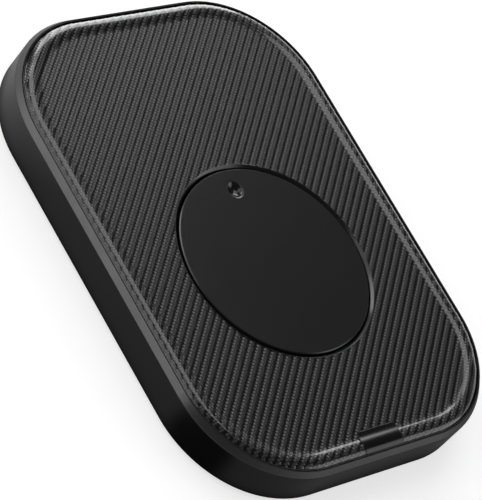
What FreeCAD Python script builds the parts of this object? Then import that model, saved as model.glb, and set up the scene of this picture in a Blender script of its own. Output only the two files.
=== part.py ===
import FreeCAD, Part
import math
import os
import re
import Sketcher
from FreeCAD import Placement, Rotation, Vector

# Slim mouse jiggler: a rounded pad on four rubber feet, with a flat turntable let into a skinned
# cover. The mouse stands on the pad, and the turntable creeps round under its sensor.
# Millimetres. +Z is up, X runs across the pad, -Y is the front edge with the power key.
# The origin is on the desk, under the middle of the pad.

os.makedirs("parts", exist_ok=True)
doc = FreeCAD.newDocument("mouse_jiggler")
dims = doc.addObject("Spreadsheet::Sheet", "dims")

DRIVING_DIMENSIONS = {
    # pad outline
    "pad_width": 75.0,
    "pad_length": 104.0,
    "pad_corner": 22.9,
    # levels above the desk
    "z_base": 0.5,
    "z_foot_seat": 1.1,
    "z_floor": 1.9,
    "z_board": 2.6,
    "z_wall": 8.5,
    "z_bevel": 9.8,
    "z_ledge": 8.4,
    "z_core": 8.9,
    "z_skin_edge": 9.45,
    "z_skin_foot": 9.65,
    "z_shell_field": 9.75,
    "z_field": 10.15,
    "z_lip": 10.1,
    "z_disc": 10.0,
    # distances in from the outline
    "in_bevel": 0.8,
    "in_base_lip": 0.95,
    "in_cover": 1.3,
    "in_crest": 3.1,
    "in_rim": 5.4,
    "in_key": 5.85,
    "in_wall": 2.0,
    "in_skirt_out": 2.15,
    "in_skirt_in": 3.15,
    "in_board": 4.2,
    # mouldings
    "base_round": 1.0,
    "bevel_round": 0.3,
    "floor_chamfer": 0.6,
    "skirt_depth": 1.5,
    "skin_gauge": 0.4,
    "rim_blend": 7.5,
    "rim_slope": 8.0,
    "relief_side": 7.0,
    "join": 0.2,
    "cut_past": 0.5,
    # turntable
    "disc_y": -8.25,
    "disc_radius": 20.85,
    "disc_gauge": 1.4,
    "disc_chamfer": 0.2,
    "hole_radius": 21.3,
    "hole_chamfer": 0.5,
    "lip_width": 0.6,
    "dimple_y": 16.3,
    "dimple_radius": 1.8,
    "dimple_depth": 0.9,
    "dimple_lip": 0.35,
    "hub_radius": 5.0,
    "hub_play": 0.02,
    "socket_radius": 7.0,
    "socket_depth": 1.8,
    "spline_radius": 0.6,
    "spline_play": 0.05,
    "spline_count": 3,
    "spindle_radius": 1.5,
    "running_gap": 0.03,
    "washer_gauge": 0.3,
    "washer_play": 0.05,
    "washer_inset": 0.8,
    "z_clip": 7.3,
    "clip_gauge": 0.4,
    "clip_bite": 0.35,
    "clip_radius": 2.9,
    "clip_mouth": 0.9,
    "clip_room": 0.4,
    "clip_drop": 0.1,
    "z_spindle_top": 8.1,
    "spindle_chamfer": 0.2,
    "hub_margin": 1.5,
    "web_outer_radius": 16.8,
    "web_recess_depth": 0.6,
    "window_radius": 3.2,
    "window_reach": 11.6,
    "window_count": 6,
    # gear train
    "turntable_module": 0.6,
    "turntable_teeth": 64,
    "pinion_teeth": 14,
    "motor_module": 0.5,
    "wheel_teeth": 40,
    "motor_pinion_teeth": 12,
    "train_angle": 60.0,
    "motor_angle": 160.0,
    "tooth_play": 0.09,
    "tooth_addendum": 0.9,
    "tooth_dedendum": 1.2,
    "pressure_angle": 20.0,
    "gap_overrun": 0.3,
    "z_turntable_gear": 3.4,
    "turntable_gear_width": 1.6,
    "z_pinion": 3.05,
    "z_wheel": 6.5,
    "wheel_width": 1.2,
    "pin_radius": 0.75,
    "pin_engage": 0.3,
    "pinion_drop": 0.05,
    "pinion_extra": 0.2,
    "wheel_window_radius": 1.7,
    "wheel_window_reach": 6.4,
    "wheel_window_count": 5,
    # geared motor
    "case_length": 16.0,
    "case_width": 8.1,
    "case_height": 4.3,
    "case_overhang": 4.2,
    "case_corner": 1.2,
    "case_edge_chamfer": 0.4,
    "z_shaft_end": 4.6,
    "shaft_end_rise": 0.3,
    "collar_sink": 2.0,
    "bush_wall": 1.0,
    "bush_height": 0.35,
    "end_cap_length": 1.6,
    "cap_chamfer": 0.4,
    "cap_step": 0.1,
    "can_radius": 3.0,
    "can_length": 14.0,
    "can_play": 0.02,
    "z_can": 4.93,
    "strap_gauge": 0.3,
    "strap_width": 5.0,
    "strap_span": 5.2,
    "cradle_shift": 4.6,
    # power key
    "key_width": 10.0,
    "key_seam": 0.12,
    "key_corner": 0.9,
    "flange_side": 6.4,
    "flange_front": 2.4,
    "flange_back": 8.6,
    "z_flange": 7.6,
    "z_key_skirt": 8.3,
    "stem_margin": 0.2,
    "switch_gap": 0.05,
    "switch_y": -45.2,
    "switch_side": 4.5,
    "switch_corner": 0.4,
    "switch_height": 2.8,
    "plunger_radius": 1.1,
    "plunger_rise": 0.8,
    "plunger_play": 0.05,
    "plunger_float": 0.45,
    "plunger_chamfer": 0.2,
    # board and connector
    "board_gauge": 1.0,
    "gear_clearance": 1.1,
    "corner_bite": 10.0,
    "bite_corner": 1.0,
    "bite_gap": 0.4,
    "bay_rear": 1.8,
    "bay_front": 1.4,
    "bay_side": 0.5,
    "usb_width": 8.94,
    "usb_height": 3.2,
    "usb_gauge": 0.3,
    "usb_depth": 7.3,
    "usb_setback": 0.5,
    "usb_slot_gap": 0.2,
    "end_flat": 0.01,
    "usb_block_depth": 1.2,
    "plunger_well_depth": 1.8,
    "led_x": 4.2,
    "led_length": 2.0,
    "led_width": 1.25,
    "led_base_height": 0.35,
    "led_radius": 0.55,
    "led_height": 0.8,
    "usb_tongue_width": 6.7,
    "usb_tongue_gauge": 0.7,
    "usb_tongue_corner": 0.2,
    "usb_tongue_setback": 0.8,
    "chip_x": 8.0,
    "chip_y": 36.0,
    "chip_length": 9.9,
    "chip_width": 3.9,
    "chip_height": 1.4,
    "chip_standoff": 0.15,
    "chip_pins_a_side": 8,
    "driver_x": -6.0,
    "driver_y": 30.0,
    "driver_length": 4.9,
    "driver_pins_a_side": 4,
    "pin_pitch": 1.27,
    "pin_lift": 0.85,
    "pin_gauge": 0.2,
    "pin_width": 0.4,
    "pin_shoulder": 0.3,
    "pin_knee": 0.5,
    "pin_lean": 0.15,
    "pin_reach": 1.1,
    "capacitor_radius": 2.0,
    "capacitor_height": 4.1,
    "capacitor_base_margin": 0.15,
    "capacitor_base_corner": 0.6,
    "capacitor_base_height": 0.4,
    "resistor_x": 0.0,
    "resistor_y": 29.7,
    "resistor_count": 8,
    "resistor_pitch": 2.0,
    "resistor_width": 0.8,
    "resistor_length": 1.6,
    "resistor_height": 0.45,
    "lead_radius": 0.45,
    "lead_pitch": 1.25,
    "lead_stub": 0.3,
    "socket_aside": 3.2,
    "socket_width": 4.2,
    "socket_front": 0.8,
    "socket_back": 4.2,
    "socket_mouth_width": 3.4,
    "socket_mouth_height": 1.8,
    "socket_mouth_depth": 2.4,
    "plug_y": 25.0,
    "plug_play": 0.05,
    "plug_length": 3.1,
    # fasteners and feet
    "fasten_x": 25.6,
    "fasten_y": 39.3,
    "column_radius": 3.5,
    "column_step": 0.4,
    "z_column": 5.0,
    "rib_root": 2.0,
    "rib_reach_x": 33.4,
    "rib_reach_y": 47.4,
    "rib_gauge": 1.2,
    "rib_height": 2.4,
    "foot_radius": 5.0,
    "foot_play": 0.15,
    "foot_chamfer": 0.25,
    "recess_arm": 1.0,
    "recess_gauge": 0.5,
    "recess_depth": 0.6,
    "z_screw_seat": 2.9,
    "pilot_depth": 3.0,
    "board_boss_radius": 2.5,
    "board_screw_radius": 1.0,
    "board_screw_depth": 1.5,
    "z_bearing": 3.0,
    "spindle_boss_radius": 4.5,
    "pin_boss_radius": 3.0,
    "pin_boss_step": 0.7,
    "pin_boss_depth": 0.7,
    "pin_seat_depth": 1.0,
    "strap_post_radius": 1.9,
    "z_strap": 5.0,
    "strap_screw_depth": 2.6,
    "cradle_gauge": 1.2,
    "z_cradle": 3.6,
    "fence_height": 2.2,
    "fence_gauge": 1.0,
    "fence_play": 0.1,
    "fence_end": 2.0,
    "fence_side": 1.5,
    "key_notch_side": 0.6,
    "key_notch_depth": 0.7,
    "screw_radius": 1.1,
    "screw_play": 0.1,
    "screw_head": 1.9,
    "head_play": 0.25,
    "head_chamfer": 0.35,
    "shank_play": 0.05,
    "cover_head_height": 1.4,
    "cover_shank": 5.0,
    "board_head": 1.8,
    "board_head_height": 1.0,
    "strap_head": 1.6,
    "strap_head_height": 0.9,
}


def fill_sheet():
    """Write each driving dimension as a plain number beside its alias."""
    for row, (alias, size) in enumerate(DRIVING_DIMENSIONS.items(), start=1):
        dims.set(f"A{row}", alias)
        dims.set(f"B{row}", str(size))
        dims.setAlias(f"B{row}", alias)
    doc.recompute()


fill_sheet()


def bound(expression):
    """Spell an expression's dimension names as cells of the sheet."""
    return re.sub(r"[a-z_]\w+", lambda word: cell_name(word.group()), expression)


def cell_name(word):
    return "dims." + word if word in DRIVING_DIMENSIONS else word


def size_of(expression):
    """The present value of an expression, in millimetres or degrees."""
    result = dims.evalExpression(bound(expression))
    return float(getattr(result, "Value", result))


# ---------------------------------------------------------------- sketching

NEAR = 1e-4


def new_body(name):
    body = doc.addObject("PartDesign::Body", name)
    body.Label = name
    return body


def place(piece, x="0", y="0", z="0", turn="0"):
    """Put a finished piece in the pad: its own origin and its turn about Z."""
    piece.setExpression("Placement.Base.x", bound(x))
    piece.setExpression("Placement.Base.y", bound(y))
    piece.setExpression("Placement.Base.z", bound(z))
    piece.setExpression("Placement.Rotation.Angle", bound(turn))


def sketch_on(body, name, plane="XY", level="0", turn="0"):
    """A sketch on one of the body's own planes, moved along the plane's normal by level."""
    sketch = body.newObject("Sketcher::SketchObject", name)
    role = plane + "_Plane"
    origin_plane = [feature for feature in body.Origin.OriginFeatures if feature.Role == role][0]
    sketch.AttachmentSupport = [(origin_plane, "")]
    sketch.MapMode = "FlatFace"
    sketch.setExpression("AttachmentOffset.Base.z", bound(level))
    sketch.setExpression("AttachmentOffset.Rotation.Angle", bound(turn))
    return sketch


def hold(sketch, kind, expression, *where):
    """A dimension of the sketch, bound to the sheet."""
    index = sketch.addConstraint(Sketcher.Constraint(kind, *where, abs(size_of(expression))))
    label = f"size_{index}"
    sketch.renameConstraint(index, label)
    sketch.setExpression("Constraints." + label, bound(expression))


def pin_point(sketch, edge, end, x, y):
    """Hold one end of an edge at x, y from the sketch's origin."""
    for kind, axis, expression in (("DistanceX", -2, x), ("DistanceY", -1, y)):
        distance = size_of(expression)
        if abs(distance) < NEAR:
            sketch.addConstraint(Sketcher.Constraint("PointOnObject", edge, end, axis))
        elif distance > 0:
            hold(sketch, kind, expression, -1, 1, edge, end)
        else:
            hold(sketch, kind, f"-( {expression} )", edge, end, -1, 1)


def arc_between(start, end, radius, side):
    """The shorter arc from start to end, its centre left (+1) or right (-1) of the way."""
    chord = end - start
    half = chord.Length / 2
    left = Vector(-chord.y, chord.x, 0).normalize()
    centre = (start + end) * 0.5 + left * side * math.sqrt(max(radius**2 - half**2, 0))
    middle = centre + ((start + end) * 0.5 - centre).normalize() * radius
    return Part.Arc(start, middle, end)


def outline(sketch, corners):
    """A closed outline. A corner is (x, y), or (x, y, radius, side) where an arc leaves it."""
    points = [Vector(size_of(corner[0]), size_of(corner[1]), 0) for corner in corners]
    edges = []
    for index, corner in enumerate(corners):
        start = points[index]
        end = points[(index + 1) % len(corners)]
        curve = Part.LineSegment(start, end)
        if len(corner) == 4:
            curve = arc_between(start, end, size_of(corner[2]), corner[3])
        edges.append(sketch.addGeometry(curve))
    for index, corner in enumerate(corners):
        # an arc's own ends run anticlockwise, so a clockwise one is taken from its second end
        begin = first_end(sketch, edges[index], points[index])
        before = edges[index - 1]
        sketch.addConstraint(Sketcher.Constraint(
            "Coincident", before, 3 - first_end(sketch, before, points[index - 1]), edges[index], begin))
        pin_point(sketch, edges[index], begin, corner[0], corner[1])
        if len(corner) == 4:
            hold(sketch, "Radius", corner[2], edges[index])


def first_end(sketch, edge, point):
    """Which end of an edge, 1 or 2, lies on a point."""
    near = sketch.getPoint(edge, 1).distanceToPoint(point)
    far = sketch.getPoint(edge, 2).distanceToPoint(point)
    return 1 if near <= far else 2


def rounded_rectangle(sketch, half_x, half_y, corner, x="0", y="0"):
    """A rounded rectangle about x, y that starts in the middle of its +X side."""
    east = f"( {x} ) + ( {half_x} )"
    west = f"( {x} ) - ( {half_x} )"
    north = f"( {y} ) + ( {half_y} )"
    south = f"( {y} ) - ( {half_y} )"
    outline(sketch, [
        (east, y),
        (east, f"{north} - ( {corner} )", corner, 1),
        (f"{east} - ( {corner} )", north),
        (f"{west} + ( {corner} )", north, corner, 1),
        (west, f"{north} - ( {corner} )"),
        (west, f"{south} + ( {corner} )", corner, 1),
        (f"{west} + ( {corner} )", south),
        (f"{east} - ( {corner} )", south, corner, 1),
        (east, f"{south} + ( {corner} )"),
    ])


def inset_outline(sketch, inset):
    """The pad's own outline, moved in."""
    rounded_rectangle(sketch, f"pad_width / 2 - {inset}", f"pad_length / 2 - {inset}",
                      f"pad_corner - {inset}")


def circle(sketch, radius, x="0", y="0"):
    centre = Vector(size_of(x), size_of(y), 0)
    ring = sketch.addGeometry(Part.Circle(centre, Vector(0, 0, 1), size_of(radius)))
    pin_point(sketch, ring, 3, x, y)
    hold(sketch, "Radius", radius, ring)


def rectangle(sketch, west, east, south, north):
    outline(sketch, [(east, south), (east, north), (west, north), (west, south)])


# ---------------------------------------------------------------- features


def add_feature(body, kind, name, sketch, reverse=False):
    doc.recompute()
    feature = body.newObject("PartDesign::" + kind, name)
    feature.Profile = (sketch, [""])
    feature.Reversed = reverse
    return feature


def pad(body, name, sketch, height, down=False, centred=False):
    feature = add_feature(body, "Pad", name, sketch, down)
    feature.setExpression("Length", bound(height))
    feature.Midplane = centred
    doc.recompute()
    return feature


def pocket(body, name, sketch, depth, up=False):
    """Cut away from the sketch: against its plane's normal, or along it with up."""
    before = body.Shape.Volume
    feature = add_feature(body, "Pocket", name, sketch, up)
    feature.setExpression("Length", bound(depth))
    doc.recompute()
    if body.Shape.Volume >= before:
        raise RuntimeError(f"{name} cuts nothing from {body.Label}")
    return feature


def revolve(body, name, sketch, kind="Revolution"):
    """Turn a profile about the sketch's upright axis."""
    feature = add_feature(body, kind, name, sketch)
    feature.ReferenceAxis = (sketch, ["V_Axis"])
    feature.Angle = 360
    doc.recompute()
    return feature


def sweep(body, name, profile, spine):
    doc.recompute()
    feature = body.newObject("PartDesign::AdditivePipe", name)
    feature.Profile = (profile, [""])
    feature.Spine = (spine, [])
    doc.recompute()
    return feature


def around(body, name, feature, sketch, count):
    """Repeat a feature round the body's Z axis."""
    pattern = body.newObject("PartDesign::PolarPattern", name)
    pattern.Originals = [feature]
    pattern.Axis = (sketch, ["N_Axis"])
    pattern.Angle = 360
    pattern.setExpression("Occurrences", bound(count))
    body.Tip = pattern
    doc.recompute()
    return pattern


def edges_where(shape, test):
    return [f"Edge{number}" for number, edge in enumerate(shape.Edges, start=1) if test(edge)]


def lies_at(edge, z):
    box = edge.BoundBox
    return abs(box.ZMin - z) < NEAR and abs(box.ZMax - z) < NEAR


def dress(body, kind, name, size, test):
    """A fillet or chamfer on the edges of the body so far that pass the test."""
    doc.recompute()
    base = body.Tip
    feature = body.newObject("PartDesign::" + kind, name)
    feature.Base = (base, edges_where(base.Shape, test))
    feature.setExpression("Radius" if kind == "Fillet" else "Size", bound(size))
    doc.recompute()
    return feature


SIGNS = [(1, 1), (1, -1), (-1, 1), (-1, -1)]
CORNERS = [(f"{x} * fasten_x", f"{y} * fasten_y") for x, y in SIGNS]

# ---------------------------------------------------------------- places of the gear train

STAGE_REACH = "turntable_module * ( turntable_teeth + pinion_teeth ) / 2"
PINION_X = f"( {STAGE_REACH} * cos( train_angle * 1deg ) )"
PINION_Y = f"( disc_y + {STAGE_REACH} * sin( train_angle * 1deg ) )"
MOTOR_REACH = "motor_module * ( wheel_teeth + motor_pinion_teeth ) / 2"
MOTOR_X = f"( {PINION_X} + {MOTOR_REACH} * cos( motor_angle * 1deg ) )"
MOTOR_Y = f"( {PINION_Y} + {MOTOR_REACH} * sin( motor_angle * 1deg ) )"
CASE_EAST = f"( {MOTOR_X} + case_overhang )"
CASE_WEST = f"( {CASE_EAST} - case_length )"
CAN_FRONT_X = CASE_WEST
STRAP_X = f"( {CAN_FRONT_X} - can_length / 2 )"
STRAP_SCREWS = [(STRAP_X, f"{MOTOR_Y} + {side} * strap_span") for side in (1, -1)]
CRADLE_SHIFTS = ("cradle_shift", "-( cradle_shift )")
BOARD_SCREWS = [("-( 16 )", "30"), ("21", "27.5"), ("15", "-( 38 )"), ("-( 15 )", "-( 38 )")]
CAPACITORS = [("-( 9 )", "38"), ("-( 14.4 )", "38")]
Z_USB = "z_board + board_gauge + usb_height / 2"
Z_BOARD_TOP = "z_board + board_gauge"
Z_PLUNGER = f"{Z_BOARD_TOP} + switch_height + plunger_rise"
CAN_REAR_X = f"( {CAN_FRONT_X} - can_length )"
SOCKET_X = f"( {CAN_REAR_X} - socket_aside )"

# the rim bead falls from its crest to the field on two equal tangent arcs with a short straight
BLEND_RUN = "( rim_blend * sin( rim_slope * 1deg ) )"
BLEND_DROP = "( rim_blend * ( 1 - cos( rim_slope * 1deg ) ) )"
STRAIGHT_DROP = f"( ( in_rim - in_crest - 2 * {BLEND_RUN} ) * tan( rim_slope * 1deg ) )"
Z_CREST = f"( z_field + 2 * {BLEND_DROP} + {STRAIGHT_DROP} )"

# radius of the rim's outer round, level at the crest and ending on top of the skin's foot
RISE = f"( {Z_CREST} - z_skin_foot )"
RUN = "( in_crest - in_cover )"
RIM_ROUND = f"( ( pow( {RISE} ; 2 ) + pow( {RUN} ; 2 ) ) / ( 2 * {RISE} ) )"

# ---------------------------------------------------------------- base tray
# Moulded tray: floor, upright wall, bevelled top edge and a ledge that the cover rests on.


def make_base_tray():
    body = new_body("base_tray")
    block = sketch_on(body, "tray_outline", level="z_base")
    inset_outline(block, "0")
    pad(body, "tray_block", block, "z_bevel - z_base")
    dress(body, "Fillet", "bottom_round", "base_round", lambda edge: lies_at(edge, size_of("z_base")))
    bevel = dress(body, "Chamfer", "top_bevel", "z_bevel - z_wall",
                  lambda edge: lies_at(edge, size_of("z_bevel")))
    bevel.ChamferType = "Two distances"
    bevel.setExpression("Size2", bound("in_bevel"))
    doc.recompute()
    dress(body, "Fillet", "bevel_round", "bevel_round", lambda edge: lies_at(edge, size_of("z_wall")))

    rebate = sketch_on(body, "cover_rebate_outline", level="z_bevel")
    inset_outline(rebate, "in_base_lip")
    pocket(body, "cover_rebate", rebate, "z_bevel - z_ledge")
    hollow = sketch_on(body, "hollow_outline", level="z_ledge")
    inset_outline(hollow, "in_wall")
    pocket(body, "hollow", hollow, "z_ledge - z_floor")
    dress(body, "Chamfer", "floor_chamfer", "floor_chamfer", lambda edge: lies_at(edge, size_of("z_floor")))

    # columns for the cover screws, tied to the walls by ribs
    columns = sketch_on(body, "column_circles", level="z_floor - join")
    for x, y in CORNERS:
        circle(columns, "column_radius", x, y)
    pad(body, "cover_columns", columns, "z_column - z_floor + join")
    ribs = sketch_on(body, "column_rib_outlines", level="z_floor - join")
    for x, y in SIGNS:
        rectangle(ribs, f"{x} * ( fasten_x + rib_root )", f"{x} * rib_reach_x",
                  f"{y} * fasten_y - rib_gauge / 2", f"{y} * fasten_y + rib_gauge / 2")
        rectangle(ribs, f"{x} * fasten_x - rib_gauge / 2", f"{x} * fasten_x + rib_gauge / 2",
                  f"{y} * ( fasten_y + rib_root )", f"{y} * rib_reach_y")
    pad(body, "column_ribs", ribs, "rib_height")

    # bosses for the board, the spindle and the reduction gear's pin
    board_bosses = sketch_on(body, "board_boss_circles", level="z_floor - join")
    for x, y in BOARD_SCREWS:
        circle(board_bosses, "board_boss_radius", x, y)
    pad(body, "board_bosses", board_bosses, "z_board - z_floor + join")
    bearings = sketch_on(body, "bearing_boss_circles", level="z_floor - join")
    circle(bearings, "spindle_boss_radius", "0", "disc_y")
    circle(bearings, "pin_boss_radius", PINION_X, PINION_Y)
    pad(body, "bearing_bosses", bearings, "z_bearing - z_floor + join")

    # posts beside the motor can, and two cradles under it
    posts = sketch_on(body, "strap_post_circles", level="z_floor - join")
    for x, y in STRAP_SCREWS:
        circle(posts, "strap_post_radius", x, y)
    pad(body, "strap_posts", posts, "z_strap - z_floor + join")
    cradles = sketch_on(body, "cradle_outlines", level="z_floor - join")
    for shift in CRADLE_SHIFTS:
        middle = f"{STRAP_X} + {shift}"
        rectangle(cradles, f"{middle} - cradle_gauge / 2", f"{middle} + cradle_gauge / 2",
                  f"{MOTOR_Y} - can_radius", f"{MOTOR_Y} + can_radius")
    pad(body, "cradles", cradles, "z_cradle - z_floor + join")
    bed = sketch_on(body, "can_bed_circle", plane="YZ", level=f"{CAN_REAR_X} - cut_past")
    circle(bed, "can_radius + can_play", MOTOR_Y, "z_can")
    pocket(body, "can_bed", bed, "can_length + cut_past", up=True)

    # low walls that locate the gearbox
    fence = sketch_on(body, "gearbox_fence_outline", level="z_floor - join")
    case_north = f"{MOTOR_Y} + case_width / 2"
    case_south = f"{MOTOR_Y} - case_width / 2"
    rectangle(fence, f"{CASE_WEST} + fence_end", f"{CASE_EAST} - fence_end",
              f"{case_north} + fence_play", f"{case_north} + fence_play + fence_gauge")
    rectangle(fence, f"{CASE_EAST} + fence_play", f"{CASE_EAST} + fence_play + fence_gauge",
              f"{case_south} + fence_side", f"{case_north} - fence_side")
    pad(body, "gearbox_fence", fence, "fence_height")

    # holes from above: board screws, strap screws, spindle and pin
    board_holes = sketch_on(body, "board_screw_holes", level="z_board")
    for x, y in BOARD_SCREWS:
        circle(board_holes, "board_screw_radius", x, y)
    pocket(body, "board_pilot_holes", board_holes, "board_screw_depth")
    strap_holes = sketch_on(body, "strap_screw_holes", level="z_strap")
    for x, y in STRAP_SCREWS:
        circle(strap_holes, "board_screw_radius", x, y)
    pocket(body, "strap_pilot_holes", strap_holes, "strap_screw_depth")
    seats = sketch_on(body, "bearing_holes", level="z_bearing")
    circle(seats, "spindle_radius", "0", "disc_y")
    circle(seats, "pin_radius", PINION_X, PINION_Y)
    pocket(body, "bearing_seats", seats, "z_bearing - z_foot_seat")

    # from below: seats for the feet, and the cover screws' counterbores under them
    foot_seats = sketch_on(body, "foot_seat_circles", level="z_base")
    for x, y in CORNERS:
        circle(foot_seats, "foot_radius + foot_play", x, y)
    pocket(body, "foot_seats", foot_seats, "z_foot_seat - z_base", up=True)
    counterbores = sketch_on(body, "counterbore_circles", level="z_foot_seat")
    for x, y in CORNERS:
        circle(counterbores, "screw_head + head_play", x, y)
    pocket(body, "counterbores", counterbores, "z_screw_seat - z_foot_seat", up=True)
    clear_holes = sketch_on(body, "clear_hole_circles", level="z_screw_seat")
    for x, y in CORNERS:
        circle(clear_holes, "screw_radius + screw_play", x, y)
    pocket(body, "clear_holes", clear_holes, "z_column - z_screw_seat", up=True)

    # slot for the connector in the far wall, and a notch in the ledge under the key
    port = sketch_on(body, "port_outline", plane="XZ", level="-( pad_length / 2 )")
    rounded_rectangle(port, "usb_width / 2 + usb_slot_gap", "usb_height / 2 + usb_slot_gap",
                      "usb_height / 2 + usb_slot_gap - end_flat", "0", Z_USB)
    pocket(body, "port", port, "in_wall + cut_past", up=True)
    key_notch = sketch_on(body, "key_notch_outline", level="z_ledge")
    rectangle(key_notch, "-( key_width / 2 + key_notch_side )", "key_width / 2 + key_notch_side",
              "-( pad_length / 2 - in_base_lip )", "-( pad_length / 2 - in_wall - cut_past )")
    pocket(body, "key_notch", key_notch, "key_notch_depth")
    return body


# ---------------------------------------------------------------- top cover
# Moulded plate with a raised rim bead. The skin is bonded over it, except on the smooth lip
# round the turntable's hole.


def crown(skin, half="pad_width / 2", way=1):
    """The rim bead's section, from its foot inwards, on the +1 or -1 side of the middle."""
    across = f"pow( {RUN} - {skin} ; 2 )"
    return [
        (f"{way} * ( {half} - in_cover - {skin} )",
         f"{Z_CREST} - {RIM_ROUND} + sqrt( pow( {RIM_ROUND} - {skin} ; 2 ) - {across} )",
         f"{RIM_ROUND} - {skin}", way),
        (f"{way} * ( {half} - in_crest )", f"{Z_CREST} - {skin}", f"rim_blend - {skin}", way),
        (f"{way} * ( {half} - in_crest - ( rim_blend - {skin} ) * sin( rim_slope * 1deg ) )",
         f"{Z_CREST} - rim_blend + ( rim_blend - {skin} ) * cos( rim_slope * 1deg )"),
        (f"{way} * ( {half} - in_rim + ( rim_blend + {skin} ) * sin( rim_slope * 1deg ) )",
         f"z_field + rim_blend - ( rim_blend + {skin} ) * cos( rim_slope * 1deg )",
         f"rim_blend + {skin}", -way),
        (f"{way} * ( {half} - in_rim )", f"z_field - {skin}"),
    ]


def make_top_cover():
    body = new_body("top_cover")
    plate = sketch_on(body, "plate_outline", level="z_ledge")
    inset_outline(plate, "in_cover")
    pad(body, "plate", plate, "z_skin_edge - z_ledge")
    path = sketch_on(body, "rim_path", level="z_skin_edge")
    inset_outline(path, "in_cover")
    section = sketch_on(body, "rim_section", plane="XZ")
    outline(section, crown("skin_gauge") + [
        ("pad_width / 2 - in_rim", "z_core"),
        ("pad_width / 2 - in_cover - skin_gauge", "z_core"),
    ])
    sweep(body, "rim_bead", section, path)
    field = sketch_on(body, "field_outline", level="z_core")
    inset_outline(field, "in_rim")
    pad(body, "field", field, "z_shell_field - z_core")
    lip = sketch_on(body, "lip_circle", level="z_core")
    circle(lip, "hole_radius + lip_width", "0", "disc_y")
    pad(body, "hole_lip", lip, "z_lip - z_core")

    skirt = sketch_on(body, "skirt_outline", level="z_ledge + join")
    inset_outline(skirt, "in_skirt_out")
    inset_outline(skirt, "in_skirt_in")
    pad(body, "skirt", skirt, "skirt_depth + join", down=True)
    columns = sketch_on(body, "column_circles", level="z_ledge + join")
    for x, y in CORNERS:
        circle(columns, "column_radius - column_step", x, y)
    pad(body, "columns", columns, "z_ledge + join - z_column", down=True)
    pin_boss = sketch_on(body, "pin_boss_circle", level="z_ledge + join")
    circle(pin_boss, "pin_boss_radius - pin_boss_step", PINION_X, PINION_Y)
    pad(body, "pin_boss", pin_boss, "pin_boss_depth", down=True)

    hole = sketch_on(body, "turntable_hole_circle", level="z_lip")
    circle(hole, "hole_radius", "0", "disc_y")
    pocket(body, "turntable_hole", hole, "z_lip - z_ledge + cut_past")
    dress(body, "Chamfer", "hole_chamfer", "hole_chamfer",
          lambda edge: lies_at(edge, size_of("z_lip"))
          and edge.BoundBox.XLength < size_of("2 * hole_radius + lip_width"))
    cut_key_way(body, "z_ledge - skirt_depth - cut_past")
    relief = sketch_on(body, "skirt_relief_outline", level="z_ledge")
    near = "pad_length / 2 - in_skirt_in - cut_past"
    far = "pad_length / 2 - in_skirt_out + cut_past"
    rectangle(relief, "-( relief_side )", "relief_side", near, far)
    rectangle(relief, "-( relief_side )", "relief_side", f"-( {far} )", f"-( {near} )")
    pocket(body, "skirt_reliefs", relief, "skirt_depth + cut_past")
    pilots = sketch_on(body, "pilot_circles", level="z_column")
    for x, y in CORNERS:
        circle(pilots, "screw_radius", x, y)
    pocket(body, "pilot_holes", pilots, "pilot_depth", up=True)
    pin_seat = sketch_on(body, "pin_seat_circle", level="z_ledge + join - pin_boss_depth")
    circle(pin_seat, "pin_radius + running_gap", PINION_X, PINION_Y)
    pocket(body, "pin_seat", pin_seat, "pin_seat_depth", up=True)
    return body


def cut_key_way(body, bottom):
    """The slot through the front of the rim that the power key stands in."""
    way = sketch_on(body, "key_way_outline", level=f"{Z_CREST} + cut_past")
    side = "key_width / 2 + key_seam"
    inner = "-( pad_length / 2 - in_key - key_seam )"
    outer = "-( pad_length / 2 + cut_past )"
    outline(way, [
        (side, outer),
        (side, f"{inner} - key_corner", "key_corner", 1),
        (f"{side} - key_corner", inner),
        (f"-( {side} - key_corner )", inner, "key_corner", 1),
        (f"-( {side} )", f"{inner} - key_corner"),
        (f"-( {side} )", outer),
    ])
    pocket(body, "key_way", way, f"{Z_CREST} + cut_past - ( {bottom} )")


# ---------------------------------------------------------------- woven skin


def make_woven_skin():
    body = new_body("woven_skin")
    path = sketch_on(body, "rim_path", level="z_skin_edge")
    inset_outline(path, "in_cover")
    section = sketch_on(body, "rim_section", plane="XZ")
    under = crown("skin_gauge")
    back = [
        (under[4][0], under[4][1], under[3][2], 1),
        (under[3][0], under[3][1]),
        (under[2][0], under[2][1], under[1][2], -1),
        (under[1][0], under[1][1], under[0][2], -1),
        (under[0][0], under[0][1]),
    ]
    outline(section, crown("0") + back + [
        ("pad_width / 2 - in_cover - skin_gauge", "z_skin_edge"),
        ("pad_width / 2 - in_cover", "z_skin_edge"),
    ])
    sweep(body, "rim_skin", section, path)
    field = sketch_on(body, "field_outline", level="z_shell_field")
    inset_outline(field, "in_rim")
    pad(body, "field_skin", field, "z_field - z_shell_field")
    hole = sketch_on(body, "lip_hole_circle", level="z_field")
    circle(hole, "hole_radius + lip_width", "0", "disc_y")
    pocket(body, "lip_hole", hole, "skin_gauge + cut_past")
    cut_key_way(body, "z_skin_edge - cut_past")
    return body


# ---------------------------------------------------------------- power key
# The key continues the rim's section. A flange under the cover keeps it in, and a stem on the
# flange stands over the switch.


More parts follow.
